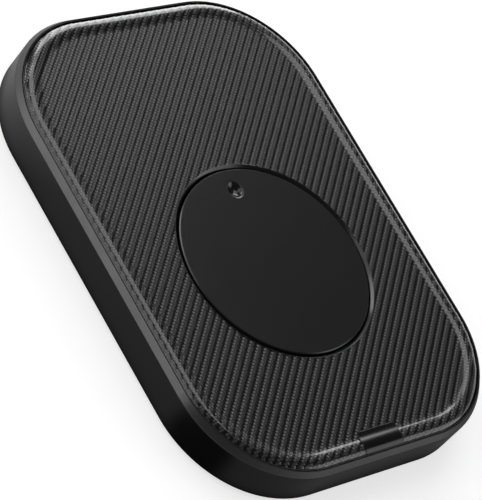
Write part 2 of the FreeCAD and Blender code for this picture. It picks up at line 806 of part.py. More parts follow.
def make_power_key():
    body = new_body("power_key")
    section = sketch_on(body, "key_section", plane="YZ")
    outline(section, crown("0", "pad_length / 2", -1) + [
        ("-( pad_length / 2 - in_key )", "z_field"),
        ("-( pad_length / 2 - in_key )", "z_key_skirt"),
        ("-( pad_length / 2 - in_cover )", "z_key_skirt"),
    ])
    pad(body, "key_cap", section, "key_width", centred=True)
    dress(body, "Fillet", "key_corners", "key_corner - key_seam",
          lambda edge: edge.BoundBox.XLength < NEAR
          and abs(edge.BoundBox.YMax + size_of("pad_length / 2 - in_key")) < NEAR
          and edge.BoundBox.YLength < NEAR)
    flange = sketch_on(body, "flange_outline", level="z_key_skirt")
    rectangle(flange, "-( flange_side )", "flange_side",
              "-( pad_length / 2 - flange_front )", "-( pad_length / 2 - flange_back )")
    pad(body, "flange", flange, "z_key_skirt - z_flange", down=True)
    stem = sketch_on(body, "stem_circle", level="z_flange")
    circle(stem, "plunger_radius + stem_margin", "0", "switch_y")
    pad(body, "stem", stem, f"z_flange - ( {Z_PLUNGER} ) - switch_gap", down=True)
    return body


# ---------------------------------------------------------------- turntable disc


def make_turntable_disc():
    body = new_body("turntable_disc")
    section = sketch_on(body, "disc_section", plane="XZ")
    under = "z_disc - disc_gauge"
    outline(section, [
        ("0", under),
        ("hub_radius + hub_play", under),
        ("hub_radius + hub_play", f"{under} - socket_depth"),
        ("socket_radius", f"{under} - socket_depth"),
        ("socket_radius", under),
        ("disc_radius", under),
        ("disc_radius", "z_disc - disc_chamfer"),
        ("disc_radius - disc_chamfer", "z_disc"),
        ("0", "z_disc"),
    ])
    revolve(body, "disc", section)
    key_seat = sketch_on(body, "key_seat_circle", level=under)
    circle(key_seat, "spline_radius + spline_play", "hub_radius")
    seat = pocket(body, "key_seat", key_seat, "socket_depth")
    around(body, "key_seats", seat, key_seat, "spline_count")

    # the finger dimple: part of a sphere with a rounded lip
    bowl = sketch_on(body, "dimple_section", plane="XZ", level="-( dimple_y )")
    ball = "( pow( dimple_radius ; 2 ) + pow( dimple_depth ; 2 ) ) / ( 2 * dimple_depth )"
    outline(bowl, [
        ("0", "z_disc - dimple_depth", ball, 1),
        ("dimple_radius", "z_disc"),
        ("dimple_radius", "z_disc + cut_past"),
        ("0", "z_disc + cut_past"),
    ])
    revolve(body, "dimple", bowl, kind="Groove")
    dress(body, "Fillet", "dimple_lip_round", "dimple_lip",
          lambda edge: lies_at(edge, size_of("z_disc")) and edge.BoundBox.XLength < size_of("hub_radius"))
    place(body, y="disc_y")
    return body


# ---------------------------------------------------------------- gears


def tooth_gap(module, teeth):
    """Outline points of the space between two teeth, on +X, with involute flanks."""
    pitch = module * teeth / 2
    lean = math.radians(size_of("pressure_angle"))
    base = pitch * math.cos(lean)
    tip = pitch + size_of("tooth_addendum") * module
    root = pitch - size_of("tooth_dedendum") * module
    at_pitch = math.tan(lean) - lean

    def half_gap(radius):
        pressure = math.acos(min(base / radius, 1))
        tooth = math.pi / (2 * teeth) - size_of("tooth_play") / (2 * pitch)
        return math.pi / teeth - (tooth + at_pitch - (math.tan(pressure) - pressure))

    start = max(base, root)
    flank = [(radius, half_gap(radius)) for radius in (tip, (tip + start) / 2, start)]
    floor_angle = math.asin(start * math.sin(half_gap(start)) / root)
    return [(tip + size_of("gap_overrun"), half_gap(tip))] + flank + [(root, floor_angle)]


def polar(radius, angle):
    return Vector(radius * math.cos(angle), radius * math.sin(angle), 0)


def add_teeth(body, name, module, teeth, level, width, turn="0"):
    """A toothed disc: a blank, one gap cut through it, and the gap repeated round it."""
    gap = tooth_gap(size_of(module), int(size_of(teeth)))
    blank = sketch_on(body, name + "_blank_circle", level=level)
    circle(blank, f"{module} * ( {teeth} / 2 + tooth_addendum )")
    pad(body, name + "_blank", blank, width)
    space = sketch_on(body, name + "_gap_outline", level=f"{level} + {width}", turn=turn)
    upper = [polar(radius, angle) for radius, angle in gap]
    lower = [polar(radius, -angle) for radius, angle in gap]
    for side in (upper, lower):
        space.addGeometry(Part.LineSegment(side[0], side[1]))
        space.addGeometry(Part.Arc(side[1], side[2], side[3]))
        if (side[3] - side[4]).Length > NEAR:
            space.addGeometry(Part.LineSegment(side[3], side[4]))
    space.addGeometry(Part.LineSegment(upper[4], lower[4]))
    space.addGeometry(Part.LineSegment(upper[0], lower[0]))
    cut = pocket(body, name + "_gap", space, width)
    around(body, name + "_teeth", cut, space, teeth)


def make_turntable_gear():
    body = new_body("turntable_gear")
    add_teeth(body, "rim", "turntable_module", "turntable_teeth",
              "z_turntable_gear", "turntable_gear_width")
    hub = sketch_on(body, "hub_circle", level="z_bearing + washer_gauge + washer_play")
    circle(hub, "hub_radius")
    pad(body, "hub", hub, "z_disc - disc_gauge - z_bearing - washer_gauge - washer_play")
    key = sketch_on(body, "key_circle", level="z_disc - disc_gauge - socket_depth", turn="-( train_angle )")
    circle(key, "spline_radius", "hub_radius")
    key_rib = pad(body, "key", key, "socket_depth")
    around(body, "keys", key_rib, key, "spline_count")
    web = sketch_on(body, "web_circles", level="z_turntable_gear + turntable_gear_width")
    circle(web, "web_outer_radius")
    circle(web, "hub_radius + hub_margin")
    pocket(body, "web_recess", web, "web_recess_depth")
    window = sketch_on(body, "window_circle", level="z_turntable_gear + turntable_gear_width")
    circle(window, "window_radius", "window_reach")
    opening = pocket(body, "window", window, "turntable_gear_width + cut_past")
    around(body, "windows", opening, window, "window_count")
    clip_room = sketch_on(body, "clip_room_circle", level="z_disc - disc_gauge")
    circle(clip_room, "clip_radius + clip_room")
    pocket(body, "clip_room", clip_room, "z_disc - disc_gauge - z_clip + clip_drop")
    bore = sketch_on(body, "bore_circle", level="z_disc")
    circle(bore, "spindle_radius + running_gap")
    pocket(body, "bore", bore, "z_disc")
    place(body, y="disc_y", turn="train_angle")
    return body


def make_spindle():
    body = new_body("spindle")
    section = sketch_on(body, "spindle_section", plane="XZ")
    neck = "spindle_radius - clip_bite"
    outline(section, [
        ("0", "z_foot_seat"),
        ("spindle_radius", "z_foot_seat"),
        ("spindle_radius", "z_clip"),
        (neck, "z_clip"),
        (neck, "z_clip + clip_gauge"),
        ("spindle_radius", "z_clip + clip_gauge"),
        ("spindle_radius", "z_spindle_top - spindle_chamfer"),
        ("spindle_radius - spindle_chamfer", "z_spindle_top"),
        ("0", "z_spindle_top"),
    ])
    revolve(body, "spindle_pin", section)
    place(body, y="disc_y")
    return body


def make_thrust_washer():
    body = new_body("thrust_washer")
    rings = sketch_on(body, "washer_circles", level="z_bearing")
    circle(rings, "spindle_boss_radius - washer_inset")
    circle(rings, "spindle_radius + running_gap")
    pad(body, "washer", rings, "washer_gauge")
    place(body, y="disc_y")
    return body


def make_retaining_clip():
    body = new_body("retaining_clip")
    rim = sketch_on(body, "clip_circle", level="z_clip")
    circle(rim, "clip_radius")
    pad(body, "clip_plate", rim, "clip_gauge")
    eye = sketch_on(body, "clip_eye_circle", level="z_clip + clip_gauge")
    circle(eye, "spindle_radius - clip_bite")
    pocket(body, "clip_eye", eye, "clip_gauge + cut_past")
    mouth = sketch_on(body, "clip_mouth_outline", level="z_clip + clip_gauge")
    jaw = "( spindle_radius - clip_bite ) * clip_mouth"
    rectangle(mouth, "0", "clip_radius + cut_past", f"-( {jaw} )", jaw)
    pocket(body, "clip_mouth", mouth, "clip_gauge + cut_past")
    place(body, y="disc_y")
    return body


PINION_TURN = "( train_angle + 180 + 180 / pinion_teeth )"


def make_reduction_gear():
    body = new_body("reduction_gear")
    add_teeth(body, "pinion", "turntable_module", "pinion_teeth", "z_pinion", "( z_wheel - z_pinion )")
    add_teeth(body, "wheel", "motor_module", "wheel_teeth", "z_wheel", "wheel_width",
              turn=f"motor_angle - {PINION_TURN}")
    window = sketch_on(body, "window_circle", level="z_wheel + wheel_width")
    circle(window, "wheel_window_radius", "wheel_window_reach")
    opening = pocket(body, "window", window, "wheel_width")
    around(body, "windows", opening, window, "wheel_window_count")
    bore = sketch_on(body, "bore_circle", level="z_wheel + wheel_width + cut_past")
    circle(bore, "pin_radius + running_gap")
    pocket(body, "bore", bore, "z_wheel")
    place(body, x=PINION_X, y=PINION_Y, turn=PINION_TURN)
    return body


def make_reduction_gear_pin():
    pin = doc.addObject("Part::Cylinder", "reduction_gear_pin")
    pin.Label = "reduction_gear_pin"
    pin.setExpression("Radius", bound("pin_radius"))
    pin.setExpression("Height", bound("z_ledge + pin_engage - z_foot_seat"))
    place(pin, x=PINION_X, y=PINION_Y, z="z_foot_seat")
    return pin


def make_motor_pinion():
    body = new_body("motor_pinion")
    add_teeth(body, "pinion", "motor_module", "motor_pinion_teeth",
              "( z_wheel - pinion_drop )", "( wheel_width + pinion_extra )")
    bore = sketch_on(body, "bore_circle", level="z_wheel + wheel_width + cut_past")
    circle(bore, "pin_radius")
    pocket(body, "bore", bore, "wheel_width + 2 * cut_past")
    place(body, x=MOTOR_X, y=MOTOR_Y, turn="motor_angle + 180 + 180 / motor_pinion_teeth")
    return body


# ---------------------------------------------------------------- geared motor


def make_motor_output_shaft():
    shaft = doc.addObject("Part::Cylinder", "motor_output_shaft")
    shaft.Label = "motor_output_shaft"
    shaft.setExpression("Radius", bound("pin_radius"))
    shaft.setExpression("Height", bound("z_wheel + wheel_width + shaft_end_rise - z_shaft_end"))
    place(shaft, x=MOTOR_X, y=MOTOR_Y, z="z_shaft_end")
    return shaft


def make_gearbox_case():
    body = new_body("gearbox_case")
    block = sketch_on(body, "case_outline", level="z_floor")
    rounded_rectangle(block, "case_length / 2", "case_width / 2", "case_corner",
                      f"( {CASE_EAST} - case_length / 2 )", MOTOR_Y)
    pad(body, "case", block, "case_height")
    dress(body, "Chamfer", "case_edges", "case_edge_chamfer",
          lambda edge: lies_at(edge, size_of("z_floor + case_height")))
    collar = sketch_on(body, "motor_collar_circle", plane="YZ", level=f"{CASE_WEST} + collar_sink")
    circle(collar, "can_radius", MOTOR_Y, "z_can")
    pad(body, "motor_collar", collar, "collar_sink", down=True)
    bush = sketch_on(body, "bush_circle", level="z_floor + case_height - join")
    circle(bush, "pin_radius + bush_wall", MOTOR_X, MOTOR_Y)
    pad(body, "bush", bush, "bush_height")
    shaft_hole = sketch_on(body, "shaft_hole_circle", level="z_floor + case_height + cut_past")
    circle(shaft_hole, "pin_radius + running_gap", MOTOR_X, MOTOR_Y)
    pocket(body, "shaft_hole", shaft_hole, "z_floor + case_height + cut_past + join - z_shaft_end")
    return body


def make_motor_can():
    body = new_body("motor_can")
    end = sketch_on(body, "can_circle", plane="YZ", level=CAN_FRONT_X)
    circle(end, "can_radius", MOTOR_Y, "z_can")
    pad(body, "can", end, "can_length - end_cap_length", down=True)
    return body


def make_motor_end_cap():
    body = new_body("motor_end_cap")
    end = sketch_on(body, "cap_circle", plane="YZ", level=f"{CAN_FRONT_X} - can_length + end_cap_length")
    circle(end, "can_radius - cap_step", MOTOR_Y, "z_can")
    pad(body, "cap", end, "end_cap_length", down=True)
    dress(body, "Chamfer", "cap_edge", "cap_chamfer",
          lambda edge: abs(edge.BoundBox.XMin - size_of(CAN_REAR_X)) < NEAR
          and edge.BoundBox.XLength < NEAR)
    return body


def make_motor_strap():
    """A saddle of sheet steel over the can, with an ear on each post."""
    body = new_body("motor_strap")
    section = sketch_on(body, "strap_section", plane="YZ", level=STRAP_X)
    inner = "( can_radius + can_play )"
    outer = f"( {inner} + strap_gauge )"
    inner_foot = f"sqrt( pow( {inner} ; 2 ) - pow( z_strap - z_can ; 2 ) )"
    outer_foot = f"sqrt( pow( {outer} ; 2 ) - pow( z_strap + strap_gauge - z_can ; 2 ) )"
    ear = "( strap_span + strap_post_radius )"
    outline(section, [
        (f"{MOTOR_Y} + {ear}", "z_strap"),
        (f"{MOTOR_Y} + {ear}", "z_strap + strap_gauge"),
        (f"{MOTOR_Y} + {outer_foot}", "z_strap + strap_gauge", outer, 1),
        (f"{MOTOR_Y} - {outer_foot}", "z_strap + strap_gauge"),
        (f"{MOTOR_Y} - {ear}", "z_strap + strap_gauge"),
        (f"{MOTOR_Y} - {ear}", "z_strap"),
        (f"{MOTOR_Y} - {inner_foot}", "z_strap", inner, -1),
        (f"{MOTOR_Y} + {inner_foot}", "z_strap"),
    ])
    pad(body, "strap", section, "strap_width", centred=True)
    holes = sketch_on(body, "strap_hole_circles", level="z_strap + strap_gauge")
    for x, y in STRAP_SCREWS:
        circle(holes, "board_screw_radius + screw_play", x, y)
    pocket(body, "strap_holes", holes, "strap_gauge + cut_past")
    return body


def make_motor_leads():
    """Two insulated wires from the end cap to the plug, the outer one round the inner one."""
    body = new_body("motor_leads")
    for number, side in enumerate((1, -1)):
        start_y = f"( {MOTOR_Y} + {side} * lead_pitch / 2 )"
        run_x = f"( {SOCKET_X} + {side} * lead_pitch / 2 )"
        bend = f"( {CAN_REAR_X} - {run_x} - lead_stub )"
        route = sketch_on(body, f"lead_route_{number}", level="z_can")
        begin = Vector(size_of(CAN_REAR_X), size_of(start_y), 0)
        bend_start = Vector(size_of(f"{run_x} + {bend}"), begin.y, 0)
        bend_end = Vector(size_of(run_x), size_of(f"{start_y} + {bend}"), 0)
        finish = Vector(bend_end.x, size_of("plug_y"), 0)
        route.addGeometry(Part.LineSegment(begin, bend_start))
        route.addGeometry(arc_between(bend_start, bend_end, size_of(bend), -1))
        route.addGeometry(Part.LineSegment(bend_end, finish))
        end = sketch_on(body, f"lead_end_{number}", plane="YZ", level=CAN_REAR_X)
        circle(end, "lead_radius", start_y, "z_can")
        sweep(body, f"lead_{number}", end, route)
    return body


# ---------------------------------------------------------------- board and what is on it


def make_main_board():
    body = new_body("main_board")
    edge = sketch_on(body, "board_outline", level="z_board")
    inset_outline(edge, "in_board")
    pad(body, "board", edge, "board_gauge")
    gear_room = sketch_on(body, "gear_room_circle", level="z_board + board_gauge")
    circle(gear_room, "turntable_module * ( turntable_teeth / 2 + tooth_addendum ) + gear_clearance",
           "0", "disc_y")
    pocket(body, "gear_room", gear_room, "board_gauge")
    pin_room = sketch_on(body, "pin_room_circle", level="z_board + board_gauge")
    circle(pin_room, "turntable_module * ( pinion_teeth / 2 + tooth_addendum ) + gear_clearance",
           PINION_X, PINION_Y)
    pocket(body, "pin_room", pin_room, "board_gauge")
    bay = sketch_on(body, "motor_bay_outline", level="z_board + board_gauge")
    rectangle(bay, f"{CAN_REAR_X} - bay_rear", f"{CASE_EAST} + bay_front",
              f"{MOTOR_Y} - strap_span - strap_post_radius - bay_side",
              f"{MOTOR_Y} + strap_span + strap_post_radius + bay_side")
    pocket(body, "motor_bay", bay, "board_gauge")
    bites = sketch_on(body, "corner_bite_outlines", level="z_board + board_gauge")
    for x, y in SIGNS:
        rounded_rectangle(bites, "corner_bite", "corner_bite", "bite_corner",
                          f"{x} * ( fasten_x + corner_bite - column_radius - bite_gap )",
                          f"{y} * ( fasten_y + corner_bite - column_radius - bite_gap )")
    pocket(body, "corner_bites", bites, "board_gauge")
    holes = sketch_on(body, "board_hole_circles", level="z_board + board_gauge")
    for x, y in BOARD_SCREWS:
        circle(holes, "board_screw_radius + screw_play", x, y)
    pocket(body, "board_holes", holes, "board_gauge")
    return body


def make_usb_shell():
    body = new_body("usb_shell")
    mouth = "-( pad_length / 2 - usb_setback )"
    outer = sketch_on(body, "shell_outline", plane="XZ", level=mouth)
    rounded_rectangle(outer, "usb_width / 2", "usb_height / 2", "usb_height / 2 - end_flat", "0", Z_USB)
    pad(body, "shell", outer, "usb_depth")
    inner = sketch_on(body, "shell_hollow_outline", plane="XZ", level=mouth)
    rounded_rectangle(inner, "usb_width / 2 - usb_gauge", "usb_height / 2 - usb_gauge",
                      "usb_height / 2 - usb_gauge - end_flat", "0", Z_USB)
    pocket(body, "shell_hollow", inner, "usb_depth - usb_gauge", up=True)
    return body


def make_usb_tongue():
    body = new_body("usb_tongue")
    back = "-( pad_length / 2 - usb_setback - usb_depth + usb_gauge )"
    block = sketch_on(body, "block_outline", plane="XZ", level=back)
    rounded_rectangle(block, "usb_width / 2 - usb_gauge", "usb_height / 2 - usb_gauge",
                      "usb_height / 2 - usb_gauge - end_flat", "0", Z_USB)
    pad(body, "block", block, "usb_block_depth", down=True)
    tongue = sketch_on(body, "tongue_outline", plane="XZ", level=back)
    rounded_rectangle(tongue, "usb_tongue_width / 2", "usb_tongue_gauge / 2", "usb_tongue_corner",
                      "0", Z_USB)
    pad(body, "tongue", tongue, "usb_depth - usb_gauge - usb_tongue_setback", down=True)
    return body


def make_switch_body():
    body = new_body("switch_body")
    block = sketch_on(body, "switch_outline", level=Z_BOARD_TOP)
    rounded_rectangle(block, "switch_side / 2", "switch_side / 2", "switch_corner", "0", "switch_y")
    pad(body, "switch_block", block, "switch_height")
    well = sketch_on(body, "plunger_well_circle", level=f"{Z_BOARD_TOP} + switch_height")
    circle(well, "plunger_radius + plunger_play", "0", "switch_y")
    pocket(body, "plunger_well", well, "plunger_well_depth")
    return body


def make_switch_plunger():
    body = new_body("switch_plunger")
    top = sketch_on(body, "plunger_circle", level=Z_PLUNGER)
    circle(top, "plunger_radius", "0", "switch_y")
    pad(body, "plunger", top, "plunger_rise + plunger_well_depth - plunger_float", down=True)
    dress(body, "Chamfer", "plunger_chamfer", "plunger_chamfer",
          lambda edge: lies_at(edge, size_of(Z_PLUNGER)))
    return body


def make_status_led():
    body = new_body("status_led")
    base = sketch_on(body, "led_outline", level=Z_BOARD_TOP)
    rectangle(base, "led_x - led_length / 2", "led_x + led_length / 2",
              "switch_y - led_width / 2", "switch_y + led_width / 2")
    pad(body, "led_base", base, "led_base_height")
    lens = sketch_on(body, "led_lens_circle", level=Z_BOARD_TOP)
    circle(lens, "led_radius", "led_x", "switch_y")
    pad(body, "led_lens", lens, "led_height")
    return body


def make_chip(name, x, y, length):
    """A small-outline chip's moulded body. Its gull-wing pins are a group of their own."""
    body = new_body(name)
    block = sketch_on(body, "chip_outline", level=f"{Z_BOARD_TOP} + chip_standoff")
    rectangle(block, f"{x} - {length} / 2", f"{x} + {length} / 2",
              f"{y} - chip_width / 2", f"{y} + chip_width / 2")
    pad(body, "chip_block", block, "chip_height")
    return body


def make_chip_pins():
    """The gull-wing pins of both chips: one pair, repeated along each chip."""
    body = new_body("chip_pins")
    rows = (("chip_x", "chip_y", "chip_pins_a_side"), ("driver_x", "driver_y", "driver_pins_a_side"))
    under = f"{Z_BOARD_TOP} + pin_lift - pin_gauge"
    for number, (x, y, pins) in enumerate(rows):
        start = f"( {x} - ( {pins} - 1 ) * pin_pitch / 2 )"
        section = sketch_on(body, f"pin_section_{number}", plane="YZ", level=start)
        for side in (1, -1):
            edge = f"{y} + {side} * chip_width / 2"
            outline(section, [
                (edge, f"{Z_BOARD_TOP} + pin_lift"),
                (edge, under),
                (f"{edge} + {side} * pin_shoulder", under),
                (f"{edge} + {side} * pin_knee", Z_BOARD_TOP),
                (f"{edge} + {side} * pin_reach", Z_BOARD_TOP),
                (f"{edge} + {side} * pin_reach", f"{Z_BOARD_TOP} + pin_gauge"),
                (f"{edge} + {side} * ( pin_knee + pin_lean )", f"{Z_BOARD_TOP} + pin_gauge"),
                (f"{edge} + {side} * ( pin_shoulder + pin_lean )", f"{Z_BOARD_TOP} + pin_lift"),
            ])
        pair = pad(body, f"pin_pair_{number}", section, "pin_width", centred=True)
        row = body.newObject("PartDesign::LinearPattern", f"pin_row_{number}")
        row.Originals = [pair]
        row.Direction = (section, ["N_Axis"])
        row.setExpression("Length", bound(f"( {pins} - 1 ) * pin_pitch"))
        row.setExpression("Occurrences", bound(pins))
        body.Tip = row
        doc.recompute()
    return body


def make_board_capacitors():
    body = new_body("board_capacitors")
    cans = sketch_on(body, "capacitor_circles", level=Z_BOARD_TOP)
    bases = sketch_on(body, "capacitor_base_outlines", level=Z_BOARD_TOP)
    half = "capacitor_radius + capacitor_base_margin"
    for x, y in CAPACITORS:
        circle(cans, "capacitor_radius", x, y)
        rounded_rectangle(bases, half, half, "capacitor_base_corner", x, y)
    pad(body, "capacitor_bases", bases, "capacitor_base_height")
    pad(body, "capacitor_cans", cans, "capacitor_height")
    return body


def make_chip_resistors():
    body = new_body("chip_resistors")
    blocks = sketch_on(body, "resistor_outlines", level=Z_BOARD_TOP)
    for step in range(int(size_of("resistor_count"))):
        west = f"resistor_x + {step} * resistor_pitch"
        rectangle(blocks, west, f"{west} + resistor_width", "resistor_y", "resistor_y + resistor_length")
    pad(body, "resistors", blocks, "resistor_height")
    return body


def make_motor_socket():
    body = new_body("motor_socket")
    shell = sketch_on(body, "socket_outline", level=Z_BOARD_TOP)
    rectangle(shell, f"{SOCKET_X} - socket_width / 2", f"{SOCKET_X} + socket_width / 2",
              "plug_y + socket_front", "plug_y + socket_back")
    pad(body, "socket", shell, f"2 * ( z_can - ( {Z_BOARD_TOP} ) )")
    mouth = sketch_on(body, "socket_mouth_outline", plane="XZ", level="-( plug_y + socket_front )")
    rectangle(mouth, f"{SOCKET_X} - socket_mouth_width / 2", f"{SOCKET_X} + socket_mouth_width / 2",
              "z_can - socket_mouth_height / 2", "z_can + socket_mouth_height / 2")
    pocket(body, "socket_mouth", mouth, "socket_mouth_depth")
    return body


def make_motor_plug():
    body = new_body("motor_plug")
    block = sketch_on(body, "plug_outline", plane="XZ", level="-( plug_y )")
    across = "( socket_mouth_width / 2 - plug_play )"
    up = "( socket_mouth_height / 2 - plug_play )"
    rectangle(block, f"{SOCKET_X} - {across}", f"{SOCKET_X} + {across}", f"z_can - {up}", f"z_can + {up}")
    pad(body, "plug", block, "plug_length", down=True)
    return body


# ---------------------------------------------------------------- feet and screws


def make_rubber_feet():
    body = new_body("rubber_feet")
    discs = sketch_on(body, "foot_circles")
    for x, y in CORNERS:
        circle(discs, "foot_radius", x, y)
    pad(body, "feet", discs, "z_foot_seat")
    dress(body, "Chamfer", "foot_chamfers", "foot_chamfer", lambda edge: lies_at(edge, 0))
    return body


def make_screws(name, places, head_radius, head_height, shank_radius, seat, shank, way):
    """Pan-head screws as a group: heads on their seats, shanks the way they are driven."""
    body = new_body(name)
    heads = sketch_on(body, "head_circles", level=seat)
    shanks = sketch_on(body, "shank_circles", level=seat)
    for x, y in places:
        circle(heads, head_radius, x, y)
        circle(shanks, shank_radius, x, y)
    pad(body, "heads", heads, head_height, down=way > 0)
    crown_level = size_of(f"{seat} - {way} * {head_height}")
    dress(body, "Chamfer", "head_chamfers", "head_chamfer", lambda edge: lies_at(edge, crown_level))
    pad(body, "shanks", shanks, shank, down=way < 0)
    recess = sketch_on(body, "recess_outlines", level=f"{seat} - {way} * {head_height}")
    arm = "recess_arm"
    half = "recess_gauge / 2"
    for x, y in places:
        outline(recess, [(f"{x} + {across}", f"{y} + {along}") for across, along in (
            (arm, f"-( {half} )"), (arm, half), (half, half), (half, arm), (f"-( {half} )", arm),
            (f"-( {half} )", half), (f"-( {arm} )", half), (f"-( {arm} )", f"-( {half} )"),
            (f"-( {half} )", f"-( {half} )"), (f"-( {half} )", f"-( {arm} )"), (half, f"-( {arm} )"),
            (half, f"-( {half} )"))])
    pocket(body, "recesses", recess, "recess_depth", up=way > 0)
    return body


# ---------------------------------------------------------------- the whole part

PIECES = [
    make_base_tray(),
    make_top_cover(),
    make_woven_skin(),
    make_power_key(),
    make_turntable_disc(),
    make_turntable_gear(),
    make_spindle(),
    make_thrust_washer(),
    make_retaining_clip(),
    make_reduction_gear(),
    make_reduction_gear_pin(),
    make_motor_pinion(),
    make_motor_output_shaft(),
    make_gearbox_case(),
    make_motor_can(),
    make_motor_end_cap(),
    make_motor_strap(),
    make_motor_leads(),
    make_motor_socket(),
    make_motor_plug(),
    make_main_board(),
    make_usb_shell(),
    make_usb_tongue(),
    make_switch_body(),
    make_switch_plunger(),
    make_status_led(),
    make_chip("controller_chip", "chip_x", "chip_y", "chip_length"),
    make_chip("driver_chip", "driver_x", "driver_y", "driver_length"),
    make_chip_pins(),
    make_board_capacitors(),
    make_chip_resistors(),
    make_rubber_feet(),
    make_screws("cover_screws", CORNERS, "screw_head", "cover_head_height", "screw_radius",
                "z_screw_seat", "cover_shank", 1),
    make_screws("board_screws", BOARD_SCREWS, "board_head", "board_head_height", "board_screw_radius",
                Z_BOARD_TOP, "board_gauge + board_screw_depth - shank_play", -1),
    make_screws("strap_screws", STRAP_SCREWS, "strap_head", "strap_head_height", "board_screw_radius",
                "z_strap + strap_gauge", "strap_gauge + strap_screw_depth - shank_play", -1),
]

doc.recompute()
for feature in doc.Objects:
    if "Invalid" in feature.State or "Error" in feature.State:
        raise RuntimeError(f"{feature.Name} failed: {feature.State}")
for piece in PIECES:
    if piece.Shape.isNull() or not piece.Shape.isValid():
        raise RuntimeError(f"{piece.Label} has no valid shape")
for piece in PIECES:
    piece.Shape.exportStep(f"parts/{piece.Label}.step")
    print(piece.Label, len(piece.Shape.Solids), round(piece.Shape.Volume, 2))
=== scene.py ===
import math

import bpy
import numpy as np
from mathutils import Matrix, Vector


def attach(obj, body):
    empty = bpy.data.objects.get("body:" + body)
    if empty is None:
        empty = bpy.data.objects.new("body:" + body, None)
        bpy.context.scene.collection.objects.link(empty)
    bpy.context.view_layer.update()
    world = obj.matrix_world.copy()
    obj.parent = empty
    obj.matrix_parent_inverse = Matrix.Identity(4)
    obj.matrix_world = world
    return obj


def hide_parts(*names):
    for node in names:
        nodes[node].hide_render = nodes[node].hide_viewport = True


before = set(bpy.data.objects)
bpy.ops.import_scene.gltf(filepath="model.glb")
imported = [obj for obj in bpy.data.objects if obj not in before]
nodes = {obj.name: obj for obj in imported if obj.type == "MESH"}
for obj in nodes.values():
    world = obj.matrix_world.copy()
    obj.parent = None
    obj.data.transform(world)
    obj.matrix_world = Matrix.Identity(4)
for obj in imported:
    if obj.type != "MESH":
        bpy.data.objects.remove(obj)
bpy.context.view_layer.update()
MM = 0.001

# ---------------------------------------------------------------- base tray
# The tray that carries everything, with the outer wall and its bevel. Injection-moulded black ABS
# from a lightly spark-textured tool: satin, with a gloss that wanders a little over the wall.
ABS_IOR, EDGE_RADIUS = 1.53, 0.08

# a patch of one gloss is this many grains wide, and a noise hardly ever leaves this span
PATCH_GRAINS = 40
NOISE_LOW, NOISE_HIGH = 0.3, 0.7


def linear(code):
    """An sRGB hex colour as linear RGBA."""
    parts = [int(code[i:i + 2], 16) / 255 for i in (0, 2, 4)]
    return [c / 12.92 if c <= 0.04045 else ((c + 0.055) / 1.055) ** 2.4 for c in parts] + [1.0]


def add(tree, kind, sockets=None, **settings):
    """Add a node with its settings. A socket gets a value, or a link from a node or its output."""
    made = tree.nodes.new(kind)
    for name, value in settings.items():
        setattr(made, name, value)
    for name, value in (sockets or {}).items():
        if isinstance(value, bpy.types.Node):
            value = next(output for output in value.outputs if output.enabled)
        if isinstance(value, bpy.types.NodeSocket):
            tree.links.new(value, made.inputs[name])
        else:
            made.inputs[name].default_value = value
    return made


def surface_material(name):
    """An empty material and its tree."""
    material = bpy.data.materials.new(name)
    material.use_nodes = True
    material.node_tree.nodes.clear()
    return material, material.node_tree


def moulded(name, low, high, grain_mm, roughness, spread, relief_mm, **surface):
    """A moulding: close tones, a gloss that wanders, a fine relief and edges a tool can make."""
    material, tree = surface_material(name)
    place = add(tree, "ShaderNodeTexCoord").outputs["Object"]
    grain = add(tree, "ShaderNodeTexNoise", {
        "Vector": place, "Scale": 1 / (grain_mm * MM), "Detail": 3.0, "Roughness": 0.6})
    patches = add(tree, "ShaderNodeTexNoise", {
        "Vector": place, "Scale": 1 / (PATCH_GRAINS * grain_mm * MM), "Detail": 2.0})
    tone = add(tree, "ShaderNodeMix", {
        "Factor": grain, "A": linear(low), "B": linear(high)}, data_type="RGBA")
    gloss = add(tree, "ShaderNodeMapRange", {
        "Value": patches, "From Min": NOISE_LOW, "From Max": NOISE_HIGH,
        "To Min": roughness - spread, "To Max": roughness + spread})
    edges = add(tree, "ShaderNodeBevel", {"Radius": EDGE_RADIUS * MM}, samples=6)
    relief = add(tree, "ShaderNodeBump", {
        "Height": grain, "Distance": relief_mm * MM, "Normal": edges})
    further = {socket.replace("_", " "): value for socket, value in surface.items()}
    shader = add(tree, "ShaderNodeBsdfPrincipled", {
        "Base Color": tone, "Roughness": gloss, "Normal": relief, **further})
    add(tree, "ShaderNodeOutputMaterial", {"Surface": shader})
    return material


def finish(material, *names):
    """Give CAD nodes a material."""
    for name in names:
        nodes[name].data.materials.clear()
        nodes[name].data.materials.append(material)


finish(moulded("abs_spark_textured", "0b0b0b", "0f0f0f", grain_mm=0.12, roughness=0.30, spread=0.02,
               relief_mm=0.0006, IOR=ABS_IOR), "base_tray")

# ---------------------------------------------------------------- spindle and gear pin
# Two short pins pressed into the tray's bosses, cut from centreless-ground steel bar. Grinding
# leaves hair-fine rings round them, so their highlights are drawn out along the pin.
ROUND_Z = (0.03, 0.03, 1.0)
LINE_DEPTH = 0.01       # of its width


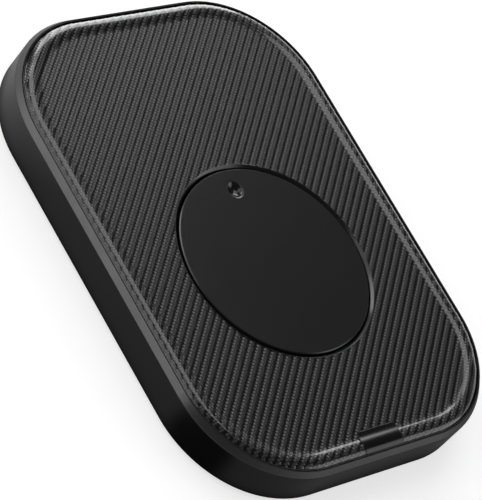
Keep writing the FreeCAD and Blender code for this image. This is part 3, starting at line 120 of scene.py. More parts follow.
def worked_metal(name, low, high, line_mm, stretch, roughness, spread):
    """Bare or plated metal with the lines of its making: stretch is 1 across them, small along."""
    material, tree = surface_material(name)
    place = add(tree, "ShaderNodeTexCoord").outputs["Object"]
    along = add(tree, "ShaderNodeVectorMath", {
        0: place, 1: [share / (line_mm * MM) for share in stretch]}, operation="MULTIPLY")
    lines = add(tree, "ShaderNodeTexNoise", {
        "Vector": along, "Scale": 1.0, "Detail": 3.0, "Roughness": 0.7})
    tone = add(tree, "ShaderNodeMix", {
        "Factor": lines, "A": linear(low), "B": linear(high)}, data_type="RGBA")
    gloss = add(tree, "ShaderNodeMapRange", {
        "Value": lines, "From Min": NOISE_LOW, "From Max": NOISE_HIGH,
        "To Min": roughness - spread, "To Max": roughness + spread})
    relief = add(tree, "ShaderNodeBump", {
        "Height": lines, "Distance": LINE_DEPTH * line_mm * MM})
    shader = add(tree, "ShaderNodeBsdfPrincipled", {
        "Base Color": tone, "Metallic": 1.0, "Roughness": gloss, "Normal": relief})
    add(tree, "ShaderNodeOutputMaterial", {"Surface": shader})
    return material


finish(worked_metal("steel_ground", "a9a9ab", "c3c3c5", line_mm=0.05, stretch=ROUND_Z,
                    roughness=0.24, spread=0.06),
       "spindle", "reduction_gear_pin", "motor_output_shaft")

# ---------------------------------------------------------------- thrust washer
# Punched from natural nylon sheet and laid on the spindle's boss, where the disc's hub turns on
# it. The nylon is milky, waxy and faintly glossy.
finish(moulded("nylon_sheet", "dedbd0", "e6e3d8", grain_mm=0.2, roughness=0.40, spread=0.04,
               relief_mm=0.001, IOR=1.53, Subsurface_Weight=0.2, Subsurface_Scale=0.5 * MM),
       "thrust_washer")

# ---------------------------------------------------------------- geared motor
# Gearbox case and end cap of glass-filled PBT, dull charcoal with a fine glassy fleck; the can is
# deep-drawn steel under nickel, with faint drawing lines along its length.
ALONG_X = (0.02, 1.0, 1.0)
finish(moulded("pbt_glass_filled", "1a1c1f", "2c2f33", grain_mm=0.08, roughness=0.46, spread=0.06,
               relief_mm=0.002, IOR=1.58), "gearbox_case", "motor_end_cap")
finish(worked_metal("steel_drawn_nickel_plated", "b0aea8", "c9c7c0", line_mm=0.08, stretch=ALONG_X,
                    roughness=0.22, spread=0.04), "motor_can", "usb_shell")

# ---------------------------------------------------------------- motor strap
# A saddle bent from cold-rolled strip and screwed to two posts over the can. The rolls leave long
# parallel lines and a soft grey shine. The spindle's clip is stamped from the same strip.
ALONG_Y = (1.0, 0.02, 1.0)
finish(worked_metal("steel_cold_rolled", "8f8f91", "a6a6a8", line_mm=0.06, stretch=ALONG_Y,
                    roughness=0.34, spread=0.07), "motor_strap", "retaining_clip")

# ---------------------------------------------------------------- screws
# Pan-head screws that hold the strap, the board and the cover. Black-passivated zinc plate gives
# a dark metal with a thin, slightly cloudy film.
CLOUDY = (1.0, 1.0, 1.0)
finish(worked_metal("steel_black_zinc", "2a2a2c", "3c3c3f", line_mm=0.10, stretch=CLOUDY,
                    roughness=0.34, spread=0.08), "strap_screws", "board_screws", "cover_screws")

# ---------------------------------------------------------------- main board
# FR-4 laminate with copper tracks under a green solder mask. The mask is glossy, and is lighter
# and slightly raised where it runs over a track.
TRACK_PITCH, COPPER_GAUGE = 1.27, 0.035
laminate, tree = surface_material("solder_mask_over_copper")
place = add(tree, "ShaderNodeTexCoord").outputs["Object"]
tracks = add(tree, "ShaderNodeTexBrick", {
    "Vector": place, "Scale": 1 / (TRACK_PITCH * MM), "Mortar Size": 0.1, "Mortar Smooth": 0.3,
    "Brick Width": 5.0, "Row Height": 1.0}, offset_frequency=3, squash=1.0).outputs["Fac"]
tone = add(tree, "ShaderNodeMix", {
    "Factor": tracks, "A": linear("0f3d26"), "B": linear("22663f")}, data_type="RGBA")
relief = add(tree, "ShaderNodeBump", {"Height": tracks, "Distance": COPPER_GAUGE * MM})
shader = add(tree, "ShaderNodeBsdfPrincipled", {
    "Base Color": tone, "Roughness": 0.25, "IOR": 1.5, "Normal": relief})
add(tree, "ShaderNodeOutputMaterial", {"Surface": shader})
finish(laminate, "main_board")

# ---------------------------------------------------------------- connector, switch and lamp
# Black liquid-crystal polymer in the connector and the switch, matt with flow marks; the switch's
# plunger is dark acetal; the little lamp is cast clear epoxy over a pale base.
finish(moulded("lcp_moulded", "0e0e0f", "17171a", grain_mm=0.15, roughness=0.48, spread=0.06,
               relief_mm=0.001, IOR=1.6), "usb_tongue", "switch_body")
finish(moulded("acetal_dark_moulded", "202022", "28282b", grain_mm=0.15, roughness=0.32,
               spread=0.03, relief_mm=0.0005, IOR=1.48), "switch_plunger")
finish(moulded("epoxy_clear_cast", "dce4d8", "e6ece2", grain_mm=0.3, roughness=0.12, spread=0.03,
               relief_mm=0.0003, IOR=1.55, Transmission_Weight=0.5), "status_led")

# ---------------------------------------------------------------- chips and capacitors
# Chips and resistors of filled black epoxy, matt with a fine sandy grain; their legs are
# tin-plated; the capacitors stand in bright impact-drawn aluminium cans.
UP_THE_CAN = (1.0, 1.0, 0.03)
finish(moulded("epoxy_moulding_compound", "141415", "222224", grain_mm=0.07, roughness=0.58,
               spread=0.05, relief_mm=0.002, IOR=1.55),
       "controller_chip", "driver_chip", "chip_resistors")
finish(worked_metal("tin_plated_legs", "b4b3ae", "cbcac5", line_mm=0.10, stretch=CLOUDY,
                    roughness=0.30, spread=0.08), "chip_pins")
finish(worked_metal("aluminium_impact_drawn", "c2c2c5", "d6d6d9", line_mm=0.08, stretch=UP_THE_CAN,
                    roughness=0.20, spread=0.05), "board_capacitors")

# ---------------------------------------------------------------- motor leads
# Two wires from the motor to the board, in extruded silicone that gives a satin red, crimped into
# an ivory nylon plug that pushes into its socket.
finish(moulded("silicone_insulation_extruded", "7c1a14", "8e211a", grain_mm=0.2, roughness=0.45,
               spread=0.05, relief_mm=0.001, IOR=1.42), "motor_leads")
finish(moulded("nylon_ivory_moulded", "dad4bd", "e4dfca", grain_mm=0.2, roughness=0.42, spread=0.05,
               relief_mm=0.001, IOR=1.53), "motor_socket", "motor_plug")

# ---------------------------------------------------------------- gears
# The motor's pinion is hobbed from brass bar, bright with tool lines along its teeth; the two
# larger gears are moulded of natural acetal, cream-white and slightly waxy.
ALONG_TEETH = (1.0, 1.0, 0.05)
finish(worked_metal("brass_hobbed", "b8913f", "d0a952", line_mm=0.06, stretch=ALONG_TEETH,
                    roughness=0.22, spread=0.05), "motor_pinion")
finish(moulded("acetal_moulded", "dddacb", "e7e4d7", grain_mm=0.2, roughness=0.34, spread=0.04,
               relief_mm=0.0008, IOR=1.48, Subsurface_Weight=0.15, Subsurface_Scale=0.8 * MM),
       "reduction_gear", "turntable_gear")

# ---------------------------------------------------------------- top cover
# The plate that closes the tray, moulded in the same ABS from a smoother tool. It shows only as
# the thin lip round the turntable, where its chamfer draws a soft bright line.
finish(moulded("abs_moulded_smooth", "101010", "151515", grain_mm=0.15, roughness=0.20, spread=0.02,
               relief_mm=0.0004, IOR=ABS_IOR), "top_cover")

# ---------------------------------------------------------------- cover edge
# The cover's outer edge stands up in the groove between the tray and the skin, as a thin moulded
# strip that rests on the tray's ledge. Its sloping side catches the same light as the bevel.
HALF_WIDTH, HALF_LENGTH, CORNER = 37.5, 52.0, 22.9
# the strip's section: how far inside the outline, and how high
EDGE_STRIP = ((1.06, 8.42), (1.06, 9.7), (1.17, 9.9), (1.19, 9.9), (1.19, 8.42))
EDGE_STEPS = 24


def outline_at(inset):
    """Points round the pad's rounded outline, this far inside it."""
    spots = []
    for way_x, way_y, start in ((1, 1, 0), (-1, 1, 90), (-1, -1, 180), (1, -1, 270)):
        for step in range(EDGE_STEPS + 1):
            turn = math.radians(start + 90 * step / EDGE_STEPS)
            spots.append((way_x * (HALF_WIDTH - CORNER) + (CORNER - inset) * math.cos(turn),
                          way_y * (HALF_LENGTH - CORNER) + (CORNER - inset) * math.sin(turn)))
    return spots


rings = [[(x * MM, y * MM, z * MM) for x, y in outline_at(inset)] for inset, z in EDGE_STRIP]
around = len(rings[0])
strip_faces = []
for level in range(len(rings)):
    this, other = level * around, (level + 1) % len(rings) * around
    for step in range(around):
        after = (step + 1) % around
        strip_faces.append((this + step, other + step, other + after, this + after))
strip_mesh = bpy.data.meshes.new("cover_edge")
strip_mesh.from_pydata([spot for ring in rings for spot in ring], [], strip_faces)
strip_mesh.materials.append(nodes["top_cover"].data.materials[0])
strip = bpy.data.objects.new("cover_edge", strip_mesh)
bpy.context.scene.collection.objects.link(strip)
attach(strip, "pad")

# ---------------------------------------------------------------- woven skin
# Black sheet woven of flat filament yarns under a clear soft lacquer, heat-formed over the
# cover's rim bead and bonded down. A 2/2 twill: each weft float covers two warp yarns, and each
# next row starts one yarn further right, so ribs of floats climb to the right.
SKIN_EDGE, SKIN_CREST, RIM_END = 1.3, 3.0, 5.3
Z_EDGE, Z_EDGE_TOP, Z_FIELD, Z_CREST, SKIN_GAUGE = 9.45, 9.65, 10.05, 10.326, 0.4

# the bead is one round from the edge up to its crest, then two equal arcs down to the field
RIM_RUN = RIM_END - SKIN_CREST
RIM_SLOPE = 2 * math.atan((Z_CREST - Z_FIELD) / RIM_RUN)
RIM_BLEND = RIM_RUN / (2 * math.sin(RIM_SLOPE))
EDGE_RISE, EDGE_RUN = Z_CREST - Z_EDGE_TOP, SKIN_CREST - SKIN_EDGE
EDGE_ROUND = (EDGE_RISE ** 2 + EDGE_RUN ** 2) / (2 * EDGE_RISE)

# yarn spacing; where the pattern starts and where yarns crest, in yarns; and how high they stand
YARN_X, YARN_Y = 0.553, 0.536
TWILL_X, TWILL_Y, WEFT_CREST, WARP_CREST = 1.75, 0.25, -1.0, 2.0
WEFT_RISE, WARP_RISE, YARN_ROUND = 0.095, 0.035, 0.030

# the holes for the disc and the key
DISC_X, DISC_Y, HOLE = 0.0, -8.25, 21.9
KEY_HALF, KEY_END, KEY_ROUND = 5.12, -46.03, 0.9
TINY = 1e-9


def inset_from(half_x, half_y, round_, x, y):
    """How far a point lies inside a rounded rectangle, and the direction further in."""
    over_x, over_y = np.abs(x) - (half_x - round_), np.abs(y) - (half_y - round_)
    corner = (over_x > 0) & (over_y > 0)
    reach = np.hypot(np.maximum(over_x, 0), np.maximum(over_y, 0))
    inset = round_ - np.where(corner, reach, np.maximum(over_x, over_y))
    flat_x = (over_x > over_y).astype(float)
    to_x = np.where(corner, over_x / np.maximum(reach, TINY), flat_x)
    to_y = np.where(corner, over_y / np.maximum(reach, TINY), 1 - flat_x)
    return inset, -np.sign(x) * to_x, -np.sign(y) * to_y


def skin_edges(x, y):
    """Distance into the skin from its nearest edge, and the direction further in."""
    rim, rim_x, rim_y = inset_from(HALF_WIDTH, HALF_LENGTH, CORNER, x, y)
    to_x, to_y = x - DISC_X, y - DISC_Y
    reach = np.maximum(np.hypot(to_x, to_y), TINY)
    way, way_x, way_y = inset_from(KEY_HALF, HALF_LENGTH, KEY_ROUND, x, y - KEY_END + HALF_LENGTH)
    options = np.stack([rim - SKIN_EDGE, reach - HOLE, -way])
    ways_x = np.stack([rim_x, to_x / reach, -way_x])
    ways_y = np.stack([rim_y, to_y / reach, -way_y])
    nearest = options.argmin(0)[None]
    return [np.take_along_axis(stack, nearest, 0)[0] for stack in (options, ways_x, ways_y)]


def crown(inset):
    """Height of the skin over the rim bead, and its slope per millimetre further in."""
    run = SKIN_CREST - np.clip(inset, SKIN_EDGE, SKIN_CREST)
    outer = np.sqrt(EDGE_ROUND ** 2 - run ** 2)
    over = np.clip(inset - SKIN_CREST, 0, RIM_RUN / 2)
    top = np.sqrt(RIM_BLEND ** 2 - over ** 2)
    into = np.clip(RIM_END - inset, 0, RIM_RUN / 2)
    foot = np.sqrt(RIM_BLEND ** 2 - into ** 2)
    parts = [inset < SKIN_CREST, inset < (SKIN_CREST + RIM_END) / 2]
    height = np.select(parts, [Z_CREST - EDGE_ROUND + outer, Z_CREST - RIM_BLEND + top],
                       Z_FIELD + RIM_BLEND - foot)
    slope = np.select(parts, [run / outer, -over / top], -into / foot)
    return height, slope


def yarn_height(along, across, number, crest, rise):
    """A set of yarns: each a wave four yarns long, with a round back."""
    wave = rise * np.cos(math.pi / 2 * (along - number + crest))
    return wave - 4 * YARN_ROUND * (across - number - 0.5) ** 2


def yarn_relief(x, y):
    """How far the weave lies below its highest thread."""
    u, v = x / YARN_X - TWILL_X, y / YARN_Y - TWILL_Y
    weft = yarn_height(u, v, np.floor(v), WEFT_CREST, WEFT_RISE)
    warp = yarn_height(v, u, np.floor(u), WARP_CREST, WARP_RISE)
    return WEFT_RISE - np.maximum(warp, weft)


STEPS_PER_YARN = 2
SNAP, SNAP_ROUNDS = 0.51, 3     # a point within this share of a step is moved on to the edge
LEAST_TURN = 0.05


def sheet_grid():
    """Points two to a yarn, those beside an edge moved on to it, and which are on the skin."""
    step_x, step_y = YARN_X / STEPS_PER_YARN, YARN_Y / STEPS_PER_YARN
    start_x, start_y = TWILL_X * YARN_X, TWILL_Y * YARN_Y
    first_x = math.floor((-HALF_WIDTH - start_x) / step_x)
    first_y = math.floor((-HALF_LENGTH - start_y) / step_y)
    count_x = math.ceil(2 * HALF_WIDTH / step_x) + 2
    count_y = math.ceil(2 * HALF_LENGTH / step_y) + 2
    x, y = np.meshgrid((first_x + np.arange(count_x)) * step_x + start_x,
                       (first_y + np.arange(count_y)) * step_y + start_y, indexing="ij")
    snap = SNAP * max(step_x, step_y)
    inside = skin_edges(x, y)[0]
    moved, kept = np.abs(inside) < snap, inside > -snap
    for _ in range(SNAP_ROUNDS):
        inside, in_x, in_y = skin_edges(x, y)
        x = np.where(moved, x - inside * in_x, x)
        y = np.where(moved, y - inside * in_y, y)
    return x, y, kept


def sheet_faces(kept):
    """Faces between neighbours on the grid, with three corners where the fourth is off it."""
    number = np.full(kept.shape, -1)
    number[kept] = np.arange(kept.sum())
    corners = np.stack([number[:-1, :-1], number[1:, :-1], number[1:, 1:], number[:-1, 1:]], -1)
    corners = corners.reshape(-1, 4)
    have = (corners >= 0).sum(1)
    faces = corners[have == 4].tolist()
    return faces + [[corner for corner in face if corner >= 0]
                    for face in corners[have == 3].tolist()]


def turned_edges(points, faces):
    """Points and faces that turn the edges down: into the groove, or by the gauge at a hole."""
    used = {(a, b) for face in faces for a, b in zip(face, face[1:] + face[:1])}
    edges = sorted((a, b) for a, b in used if (b, a) not in used)
    below, lower = {}, []
    for corner in sorted({corner for edge in edges for corner in edge}):
        x, y, z = points[corner]
        at_rim = float(inset_from(HALF_WIDTH, HALF_LENGTH, CORNER, x, y)[0]) < SKIN_CREST
        below[corner] = len(points) + len(lower)
        lower.append((x, y, min(z - LEAST_TURN, Z_EDGE if at_rim else Z_FIELD - SKIN_GAUGE)))
    return np.array(lower), [[b, a, below[a], below[b]] for a, b in edges]


def woven_sheet(name):
    """The skin with its yarns in relief, laid over the bead and turned down at its edges."""
    x, y, kept = sheet_grid()
    inset, in_x, in_y = inset_from(HALF_WIDTH, HALF_LENGTH, CORNER, x, y)
    base, slope = crown(inset)
    points = np.stack([x, y, base - yarn_relief(x, y)], -1)[kept]
    top_faces = sheet_faces(kept)
    lower, side_faces = turned_edges(points, top_faces)
    points = np.vstack([points, lower]) * MM
    mesh = bpy.data.meshes.new(name)
    mesh.from_pydata(points.tolist(), [], top_faces + side_faces)
    mesh.update()
    mesh.polygons.foreach_set("use_smooth", [True] * len(mesh.polygons))

    # shade the top by the smooth crown: the yarns' own slopes come from the material
    crown_normal = np.stack([-slope * in_x, -slope * in_y, np.ones_like(slope)], -1)[kept]
    crown_normal /= np.linalg.norm(crown_normal, axis=-1, keepdims=True)
    normals = np.zeros(len(mesh.loops) * 3)
    mesh.corner_normals.foreach_get("vector", normals)
    normals = normals.reshape(-1, 3)
    loop_point = np.zeros(len(mesh.loops), int)
    mesh.loops.foreach_get("vertex_index", loop_point)
    top_loops = sum(len(face) for face in top_faces)
    normals[:top_loops] = crown_normal[loop_point[:top_loops]]
    mesh.normals_split_custom_set(normals.tolist())

    # its map is the plan of the pad
    plan = points[loop_point, :2] / (2 * HALF_WIDTH * MM, 2 * HALF_LENGTH * MM) + 0.5
    mesh.uv_layers.new(name="OFBake").data.foreach_set("uv", plan.ravel())
    piece = bpy.data.objects.new(name, mesh)
    bpy.context.scene.collection.objects.link(piece)
    return piece


# the lacquer fills the hollows between yarns, so the gloss sees them much flatter than they are
GLINT_ROUND = 0.004
# the gap tone is painted shade: each yarn darkens to it towards its edges, where the hollows lie
WEFT_TONE, WARP_TONE, GAP_SHADE_TONE = "363636", "040404", "010101"
YARN_ROUGHNESS, YARN_IOR = 0.20, 1.5
LACQUER, LACQUER_ROUGHNESS, LACQUER_IOR = 1.0, 0.08, 1.5


def yarn_nodes(tree, along, across, number, crest, rise):
    """The same set of yarns in nodes: its height, and how near the middle of a yarn is."""
    run = add(tree, "ShaderNodeMath", {0: along, 1: number}, operation="SUBTRACT")
    turn = add(tree, "ShaderNodeMath", {
        0: run, 1: math.pi / 2, 2: crest * math.pi / 2}, operation="MULTIPLY_ADD")
    wave = add(tree, "ShaderNodeMath", {0: turn}, operation="COSINE")
    side = add(tree, "ShaderNodeMath", {0: across, 1: number}, operation="SUBTRACT")
    side = add(tree, "ShaderNodeMath", {0: side, 1: 0.5}, operation="SUBTRACT")
    side = add(tree, "ShaderNodeMath", {0: side, 1: side}, operation="MULTIPLY")
    middle = add(tree, "ShaderNodeMath", {0: side, 1: -4.0, 2: 1.0}, operation="MULTIPLY_ADD")
    height = add(tree, "ShaderNodeMath", {0: wave, 1: rise}, operation="MULTIPLY")
    height = add(tree, "ShaderNodeMath", {
        0: middle, 1: GLINT_ROUND, 2: height}, operation="MULTIPLY_ADD")
    return height, middle


def twill_material():
    """Filament yarns under lacquer: glossy charcoal wefts over near-black warps, and painted shade
    in the gaps.
    """
    material, tree = surface_material("filament_twill_lacquered")
    place = add(tree, "ShaderNodeTexCoord").outputs["Object"]
    spot = add(tree, "ShaderNodeSeparateXYZ", {"Vector": place})
    u = add(tree, "ShaderNodeMath", {
        0: spot.outputs["X"], 1: 1 / (YARN_X * MM), 2: -TWILL_X}, operation="MULTIPLY_ADD")
    v = add(tree, "ShaderNodeMath", {
        0: spot.outputs["Y"], 1: 1 / (YARN_Y * MM), 2: -TWILL_Y}, operation="MULTIPLY_ADD")
    column = add(tree, "ShaderNodeMath", {0: u}, operation="FLOOR")
    row = add(tree, "ShaderNodeMath", {0: v}, operation="FLOOR")
    weft, weft_middle = yarn_nodes(tree, u, v, row, WEFT_CREST, WEFT_RISE)
    warp, warp_middle = yarn_nodes(tree, v, u, column, WARP_CREST, WARP_RISE)
    height = add(tree, "ShaderNodeMath", {0: warp, 1: weft}, operation="MAXIMUM")
    on_weft = add(tree, "ShaderNodeMath", {0: weft, 1: warp}, operation="GREATER_THAN")
    yarn = add(tree, "ShaderNodeMix", {
        "Factor": on_weft, "A": linear(WARP_TONE), "B": linear(WEFT_TONE)}, data_type="RGBA")
    middle = add(tree, "ShaderNodeMix", {
        "Factor": on_weft, "A": warp_middle, "B": weft_middle}, data_type="FLOAT")
    # painted shade in the hollows: towards a yarn's edges its colour darkens to the gap tone
    tone = add(tree, "ShaderNodeMix", {
        "Factor": middle, "A": linear(GAP_SHADE_TONE), "B": yarn}, data_type="RGBA")
    relief = add(tree, "ShaderNodeBump", {"Height": height, "Distance": MM})
    shader = add(tree, "ShaderNodeBsdfPrincipled", {
        "Base Color": tone, "Roughness": YARN_ROUGHNESS, "IOR": YARN_IOR, "Normal": relief,
        "Coat Weight": LACQUER, "Coat Roughness": LACQUER_ROUGHNESS, "Coat IOR": LACQUER_IOR})
    add(tree, "ShaderNodeOutputMaterial", {"Surface": shader})
    return material


skin = woven_sheet("woven_skin_twill")
skin.data.materials.append(twill_material())
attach(skin, "pad")
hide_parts("woven_skin")

# ---------------------------------------------------------------- power key
# The key stands in a gap of the rim and carries its section on. Moulded in black ABS from a
# polished tool, so the rim's highlight runs over it smoother and brighter than over the weave.
CAP_CREST, CAP_FOOT, CAP_SINK = -49.1, -46.4, 0.16
cap = moulded("abs_polished", "0b0b0b", "0e0e0e", grain_mm=0.2, roughness=0.15, spread=0.01,
              relief_mm=0.0002, IOR=ABS_IOR)

# its top is shaded as if it sank a little further towards the field, as the skin beside it does
tree = cap.node_tree
place = add(tree, "ShaderNodeTexCoord").outputs["Object"]
spot = add(tree, "ShaderNodeSeparateXYZ", {"Vector": place})
sunk = add(tree, "ShaderNodeMapRange", {
    "Value": spot.outputs["Y"], "From Min": CAP_CREST * MM, "From Max": CAP_FOOT * MM,
    "To Min": 0.0, "To Max": -CAP_SINK * MM}, interpolation_type="SMOOTHSTEP")
slope = add(tree, "ShaderNodeBump", {
    "Height": sunk, "Distance": 1.0, "Normal": tree.nodes["Bevel"]})
tree.links.new(slope.outputs["Normal"], tree.nodes["Bump"].inputs["Normal"])
finish(cap, "power_key")

# ---------------------------------------------------------------- turntable disc
# The disc that the mouse's sensor looks at, moulded in black ABS with a fine satin top and a
# polished finger dimple near its edge.
DIMPLE_Y, DIMPLE_ROUND, DIMPLE_BLEND, DIMPLE_GLOSS = 8.05, 1.8, 0.03, 0.08
disc_plastic = moulded("abs_satin", "121212", "151515", grain_mm=0.10, roughness=0.24, spread=0.005,
                       relief_mm=0.0005, IOR=ABS_IOR)
tree = disc_plastic.node_tree
place = add(tree, "ShaderNodeTexCoord").outputs["Object"]
spot = add(tree, "ShaderNodeVectorMath", {0: place, 1: (1, 1, 0)}, operation="MULTIPLY")
reach = add(tree, "ShaderNodeVectorMath", {
    0: spot, 1: (0, DIMPLE_Y * MM, 0)}, operation="DISTANCE").outputs["Value"]
gloss = add(tree, "ShaderNodeMapRange", {
    "Value": reach, "From Min": (1 - DIMPLE_BLEND) * DIMPLE_ROUND * MM,
    "From Max": (1 + DIMPLE_BLEND) * DIMPLE_ROUND * MM,
    "To Min": DIMPLE_GLOSS, "To Max": tree.nodes["Map Range"]})
tree.links.new(gloss.outputs["Result"], tree.nodes["Principled BSDF"].inputs["Roughness"])
finish(disc_plastic, "turntable_disc")

# ---------------------------------------------------------------- rubber feet
# Four die-cut silicone discs stuck into shallow seats. The matt, slightly dusty rubber keeps the
# pad from creeping, and hides the cover screws.
finish(moulded("silicone_rubber_sheet", "161616", "202020", grain_mm=0.25, roughness=0.75,
               spread=0.08, relief_mm=0.006, IOR=1.42), "rubber_feet")

# ---------------------------------------------------------------- floor
# Pale matt backdrop paper. It takes the pad's shadow and runs out to white by a glow of its own
# that lights nothing.
FLOOR_HALF, FLOOR_TONE, FLOOR_GLOW, WHITE = 3.0, "b0b0b0", 0.66, (1, 1, 1, 1)
floor_mesh = bpy.data.meshes.new("floor")
floor_mesh.from_pydata([(way_x * FLOOR_HALF, way_y * FLOOR_HALF, 0)
                        for way_x, way_y in ((-1, -1), (1, -1), (1, 1), (-1, 1))],
                       [], [(0, 1, 2, 3)])
floor = bpy.data.objects.new("floor", floor_mesh)
bpy.context.scene.collection.objects.link(floor)
paper, tree = surface_material("backdrop_paper")
path = add(tree, "ShaderNodeLightPath")
seen = add(tree, "ShaderNodeMath", {
    0: path.outputs["Is Camera Ray"], 1: path.outputs["Is Transmission Ray"]}, operation="MAXIMUM")
glow = add(tree, "ShaderNodeEmission", {"Color": WHITE, "Strength": add(
    tree, "ShaderNodeMath", {0: seen, 1: FLOOR_GLOW}, operation="MULTIPLY")})
matt = add(tree, "ShaderNodeBsdfDiffuse", {"Color": linear(FLOOR_TONE)})
lit = add(tree, "ShaderNodeAddShader", {0: matt, 1: glow})

# what a gloss surface mirrors of it is a painted reflection: a painted contact shadow where the pad
# touches down, a painted dark patch at the front left, painted shade beside the pad, painted light
# at the back left, white further out
CONTACT_SHADOW_REACH, DIM_REACH, WHITE_REACH, FAR_WHITE = 2.5, 30.0, 80.0, 1.35
SHADE_PATCH_X, SHADE_PATCH_Y, SHADE_PATCH_CORE, SHADE_PATCH_REACH = -44.0, -41.0, 8.0, 14.0
PAINTED_DIM_SPAN, PAINTED_DIM, PAINTED_BRIGHT_SPAN, PAINTED_BRIGHT = (-40.0, 40.0), (0.15, 0.25), (46.0, 66.0), 0.6
TO_BACK_LEFT = (-math.sqrt(0.5), math.sqrt(0.5), 0)
place = add(tree, "ShaderNodeTexCoord").outputs["Object"]
beyond = add(tree, "ShaderNodeVectorMath", {0: place}, operation="ABSOLUTE")
beyond = add(tree, "ShaderNodeVectorMath", {0: beyond, 1: (
    (HALF_WIDTH - CORNER) * MM, (HALF_LENGTH - CORNER) * MM, 0)}, operation="SUBTRACT")
beyond = add(tree, "ShaderNodeVectorMath", {0: beyond, 1: (0, 0, 0)}, operation="MAXIMUM")
away = add(tree, "ShaderNodeVectorMath", {0: beyond}, operation="LENGTH").outputs["Value"]
# painted contact shadow: the mirrored image goes black where the pad meets the floor
contact_shadow = add(tree, "ShaderNodeMapRange", {
    "Value": away, "From Min": CORNER * MM, "From Max": (CORNER + CONTACT_SHADOW_REACH) * MM})
# painted shade: a dark patch in the mirrored image at the front left
shade_patch = add(tree, "ShaderNodeVectorMath", {
    0: place, 1: (SHADE_PATCH_X * MM, SHADE_PATCH_Y * MM, 0)}, operation="DISTANCE").outputs["Value"]
shade_patch = add(tree, "ShaderNodeMapRange", {
    "Value": shade_patch, "From Min": SHADE_PATCH_CORE * MM, "From Max": SHADE_PATCH_REACH * MM},
    interpolation_type="SMOOTHSTEP")
across = add(tree, "ShaderNodeVectorMath", {
    0: place, 1: TO_BACK_LEFT}, operation="DOT_PRODUCT").outputs["Value"]
# painted light: the mirrored image grows brighter towards the back left
painted_bright = add(tree, "ShaderNodeMapRange", {
    "Value": across, "From Min": PAINTED_BRIGHT_SPAN[0] * MM, "From Max": PAINTED_BRIGHT_SPAN[1] * MM,
    "To Min": 0.0, "To Max": PAINTED_BRIGHT})
# painted shade: the mirrored image is dim beside the pad
painted_dim = add(tree, "ShaderNodeMapRange", {
    "Value": across, "From Min": PAINTED_DIM_SPAN[0] * MM, "From Max": PAINTED_DIM_SPAN[1] * MM,
    "To Min": PAINTED_DIM[0], "To Max": PAINTED_DIM[1]})
painted_dim = add(tree, "ShaderNodeMath", {0: painted_dim, 1: painted_bright}, operation="ADD")
painted_dim = add(tree, "ShaderNodeMath", {0: painted_dim, 1: shade_patch}, operation="MULTIPLY")
painted_dim = add(tree, "ShaderNodeMath", {0: painted_dim, 1: contact_shadow}, operation="MULTIPLY")
mirrored = add(tree, "ShaderNodeMapRange", {
    "Value": away, "From Min": (CORNER + DIM_REACH) * MM,
    "From Max": (CORNER + WHITE_REACH) * MM, "To Min": painted_dim, "To Max": FAR_WHITE})
# the painted reflection glows for gloss rays only
painted_reflection = add(tree, "ShaderNodeEmission", {"Color": WHITE, "Strength": mirrored})
add(tree, "ShaderNodeOutputMaterial", {"Surface": add(tree, "ShaderNodeMixShader", {
    "Fac": path.outputs["Is Glossy Ray"], 1: lit, 2: painted_reflection})})
floor_mesh.materials.append(paper)

# ---------------------------------------------------------------- studio walls
# White to the eye and soft and plain as light. A gloss surface sees the white backdrop low down
# and the dark of the studio between the lamps above it.
AMBIENT, BACKDROP, STUDIO_DARK = 0.3, 1.0, 0.05
BACKDROP_TOP, DARK_FROM = 0.05, 0.35
world = bpy.data.worlds.new("studio")
world.use_nodes = True
tree = world.node_tree
tree.nodes.clear()
bpy.context.scene.world = world
path = add(tree, "ShaderNodeLightPath")
place = add(tree, "ShaderNodeTexCoord").outputs["Generated"]
up = add(tree, "ShaderNodeSeparateXYZ", {"Vector": place})
mirrored = add(tree, "ShaderNodeMapRange", {
    "Value": up.outputs["Z"], "From Min": BACKDROP_TOP, "From Max": DARK_FROM,
    "To Min": BACKDROP, "To Max": STUDIO_DARK})
strength = add(tree, "ShaderNodeMix", {
    "Factor": path.outputs["Is Glossy Ray"], "A": AMBIENT, "B": mirrored}, data_type="FLOAT")
seen = add(tree, "ShaderNodeMath", {
    0: path.outputs["Is Camera Ray"], 1: path.outputs["Is Transmission Ray"]}, operation="MAXIMUM")
strength = add(tree, "ShaderNodeMix", {
    "Factor": seen, "A": strength, "B": BACKDROP}, data_type="FLOAT")
sky = add(tree, "ShaderNodeBackground", {"Color": WHITE, "Strength": strength})
add(tree, "ShaderNodeOutputWorld", {"Surface": sky})

# ---------------------------------------------------------------- softboxes
# Flat diffused lamps, so far off that the whole pad sees each one on the same side. The two at
# the back draw the bright lines on the rim, and the others fill the walls and the bevel.
LAMP_DISTANCE = 4000.0


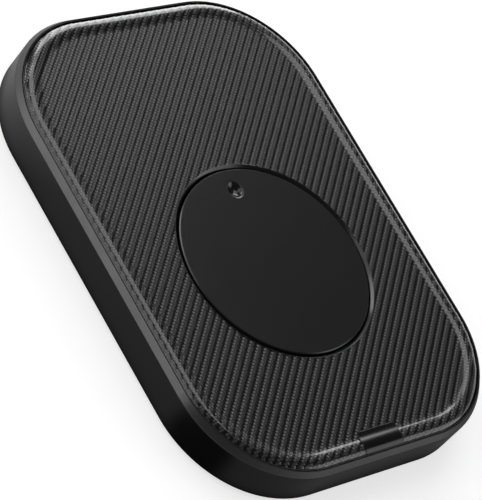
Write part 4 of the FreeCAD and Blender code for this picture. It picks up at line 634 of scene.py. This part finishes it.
def softbox(name, azimuth, elevation, roll, width, height, radiance):
    """A lamp facing the pad, in degrees: where it stands, its tilt, how wide and high it looks."""
    azimuth, elevation, roll = (math.radians(angle) for angle in (azimuth, elevation, roll))
    out = Vector((math.cos(elevation) * math.cos(azimuth),
                  math.cos(elevation) * math.sin(azimuth), math.sin(elevation)))
    level = Vector((-math.sin(azimuth), math.cos(azimuth), 0))
    side = level * math.cos(roll) + out.cross(level) * math.sin(roll)
    lamp = bpy.data.lights.new(name, "AREA")
    lamp.shape = "RECTANGLE"
    lamp.size = 2 * LAMP_DISTANCE * math.tan(math.radians(width / 2)) * MM
    lamp.size_y = 2 * LAMP_DISTANCE * math.tan(math.radians(height / 2)) * MM
    lamp.energy = radiance * math.pi * lamp.size * lamp.size_y
    holder = bpy.data.objects.new(name, lamp)
    turn = Matrix((side, out.cross(side), out)).transposed()
    holder.matrix_world = Matrix.Translation(out * LAMP_DISTANCE * MM) @ turn.to_4x4()
    holder.visible_camera = False
    bpy.context.scene.collection.objects.link(holder)


softbox("back_low_softbox", azimuth=50.1, elevation=17.9, roll=-1.5, width=28.0, height=44.0,
        radiance=3.50)
softbox("back_high_softbox", azimuth=53.0, elevation=59.9, roll=-1.6, width=28.0, height=31.5,
        radiance=1.70)
softbox("front_softbox", azimuth=-38.0, elevation=23.0, roll=0.0, width=33.0, height=39.0,
        radiance=1.30)
softbox("left_softbox", azimuth=130.0, elevation=20.0, roll=0.0, width=76.0, height=26.0,
        radiance=3.70)
softbox("back_left_softbox", azimuth=130.0, elevation=52.0, roll=0.0, width=44.0, height=30.0,
        radiance=1.10)

# ---------------------------------------------------------------- camera
# A long lens above the pad's front left, tilted so that the pad runs from the upper left of the
# frame to the lower right and fills it.
FOCAL_PX, FRAME_PX, SENSOR = 2912.8, 500, 36
CAMERA_PLACE, CAMERA_TURN = (-372.95, -173.2, 384.04), (38.515, -29.626, -33.432)
NEAREST, FURTHEST = 0.01, 20
camera_data = bpy.data.cameras.new("camera")
camera_data.sensor_fit = "VERTICAL"
camera_data.sensor_width = SENSOR
camera_data.sensor_height = SENSOR
camera_data.lens = FOCAL_PX * SENSOR / FRAME_PX
camera_data.clip_start = NEAREST
camera_data.clip_end = FURTHEST
camera = bpy.data.objects.new("camera", camera_data)
camera.location = Vector(CAMERA_PLACE) * MM
camera.rotation_euler = [math.radians(turn) for turn in CAMERA_TURN]
bpy.context.scene.collection.objects.link(camera)
bpy.context.scene.camera = camera
bpy.context.scene.view_settings.view_transform = "Standard"
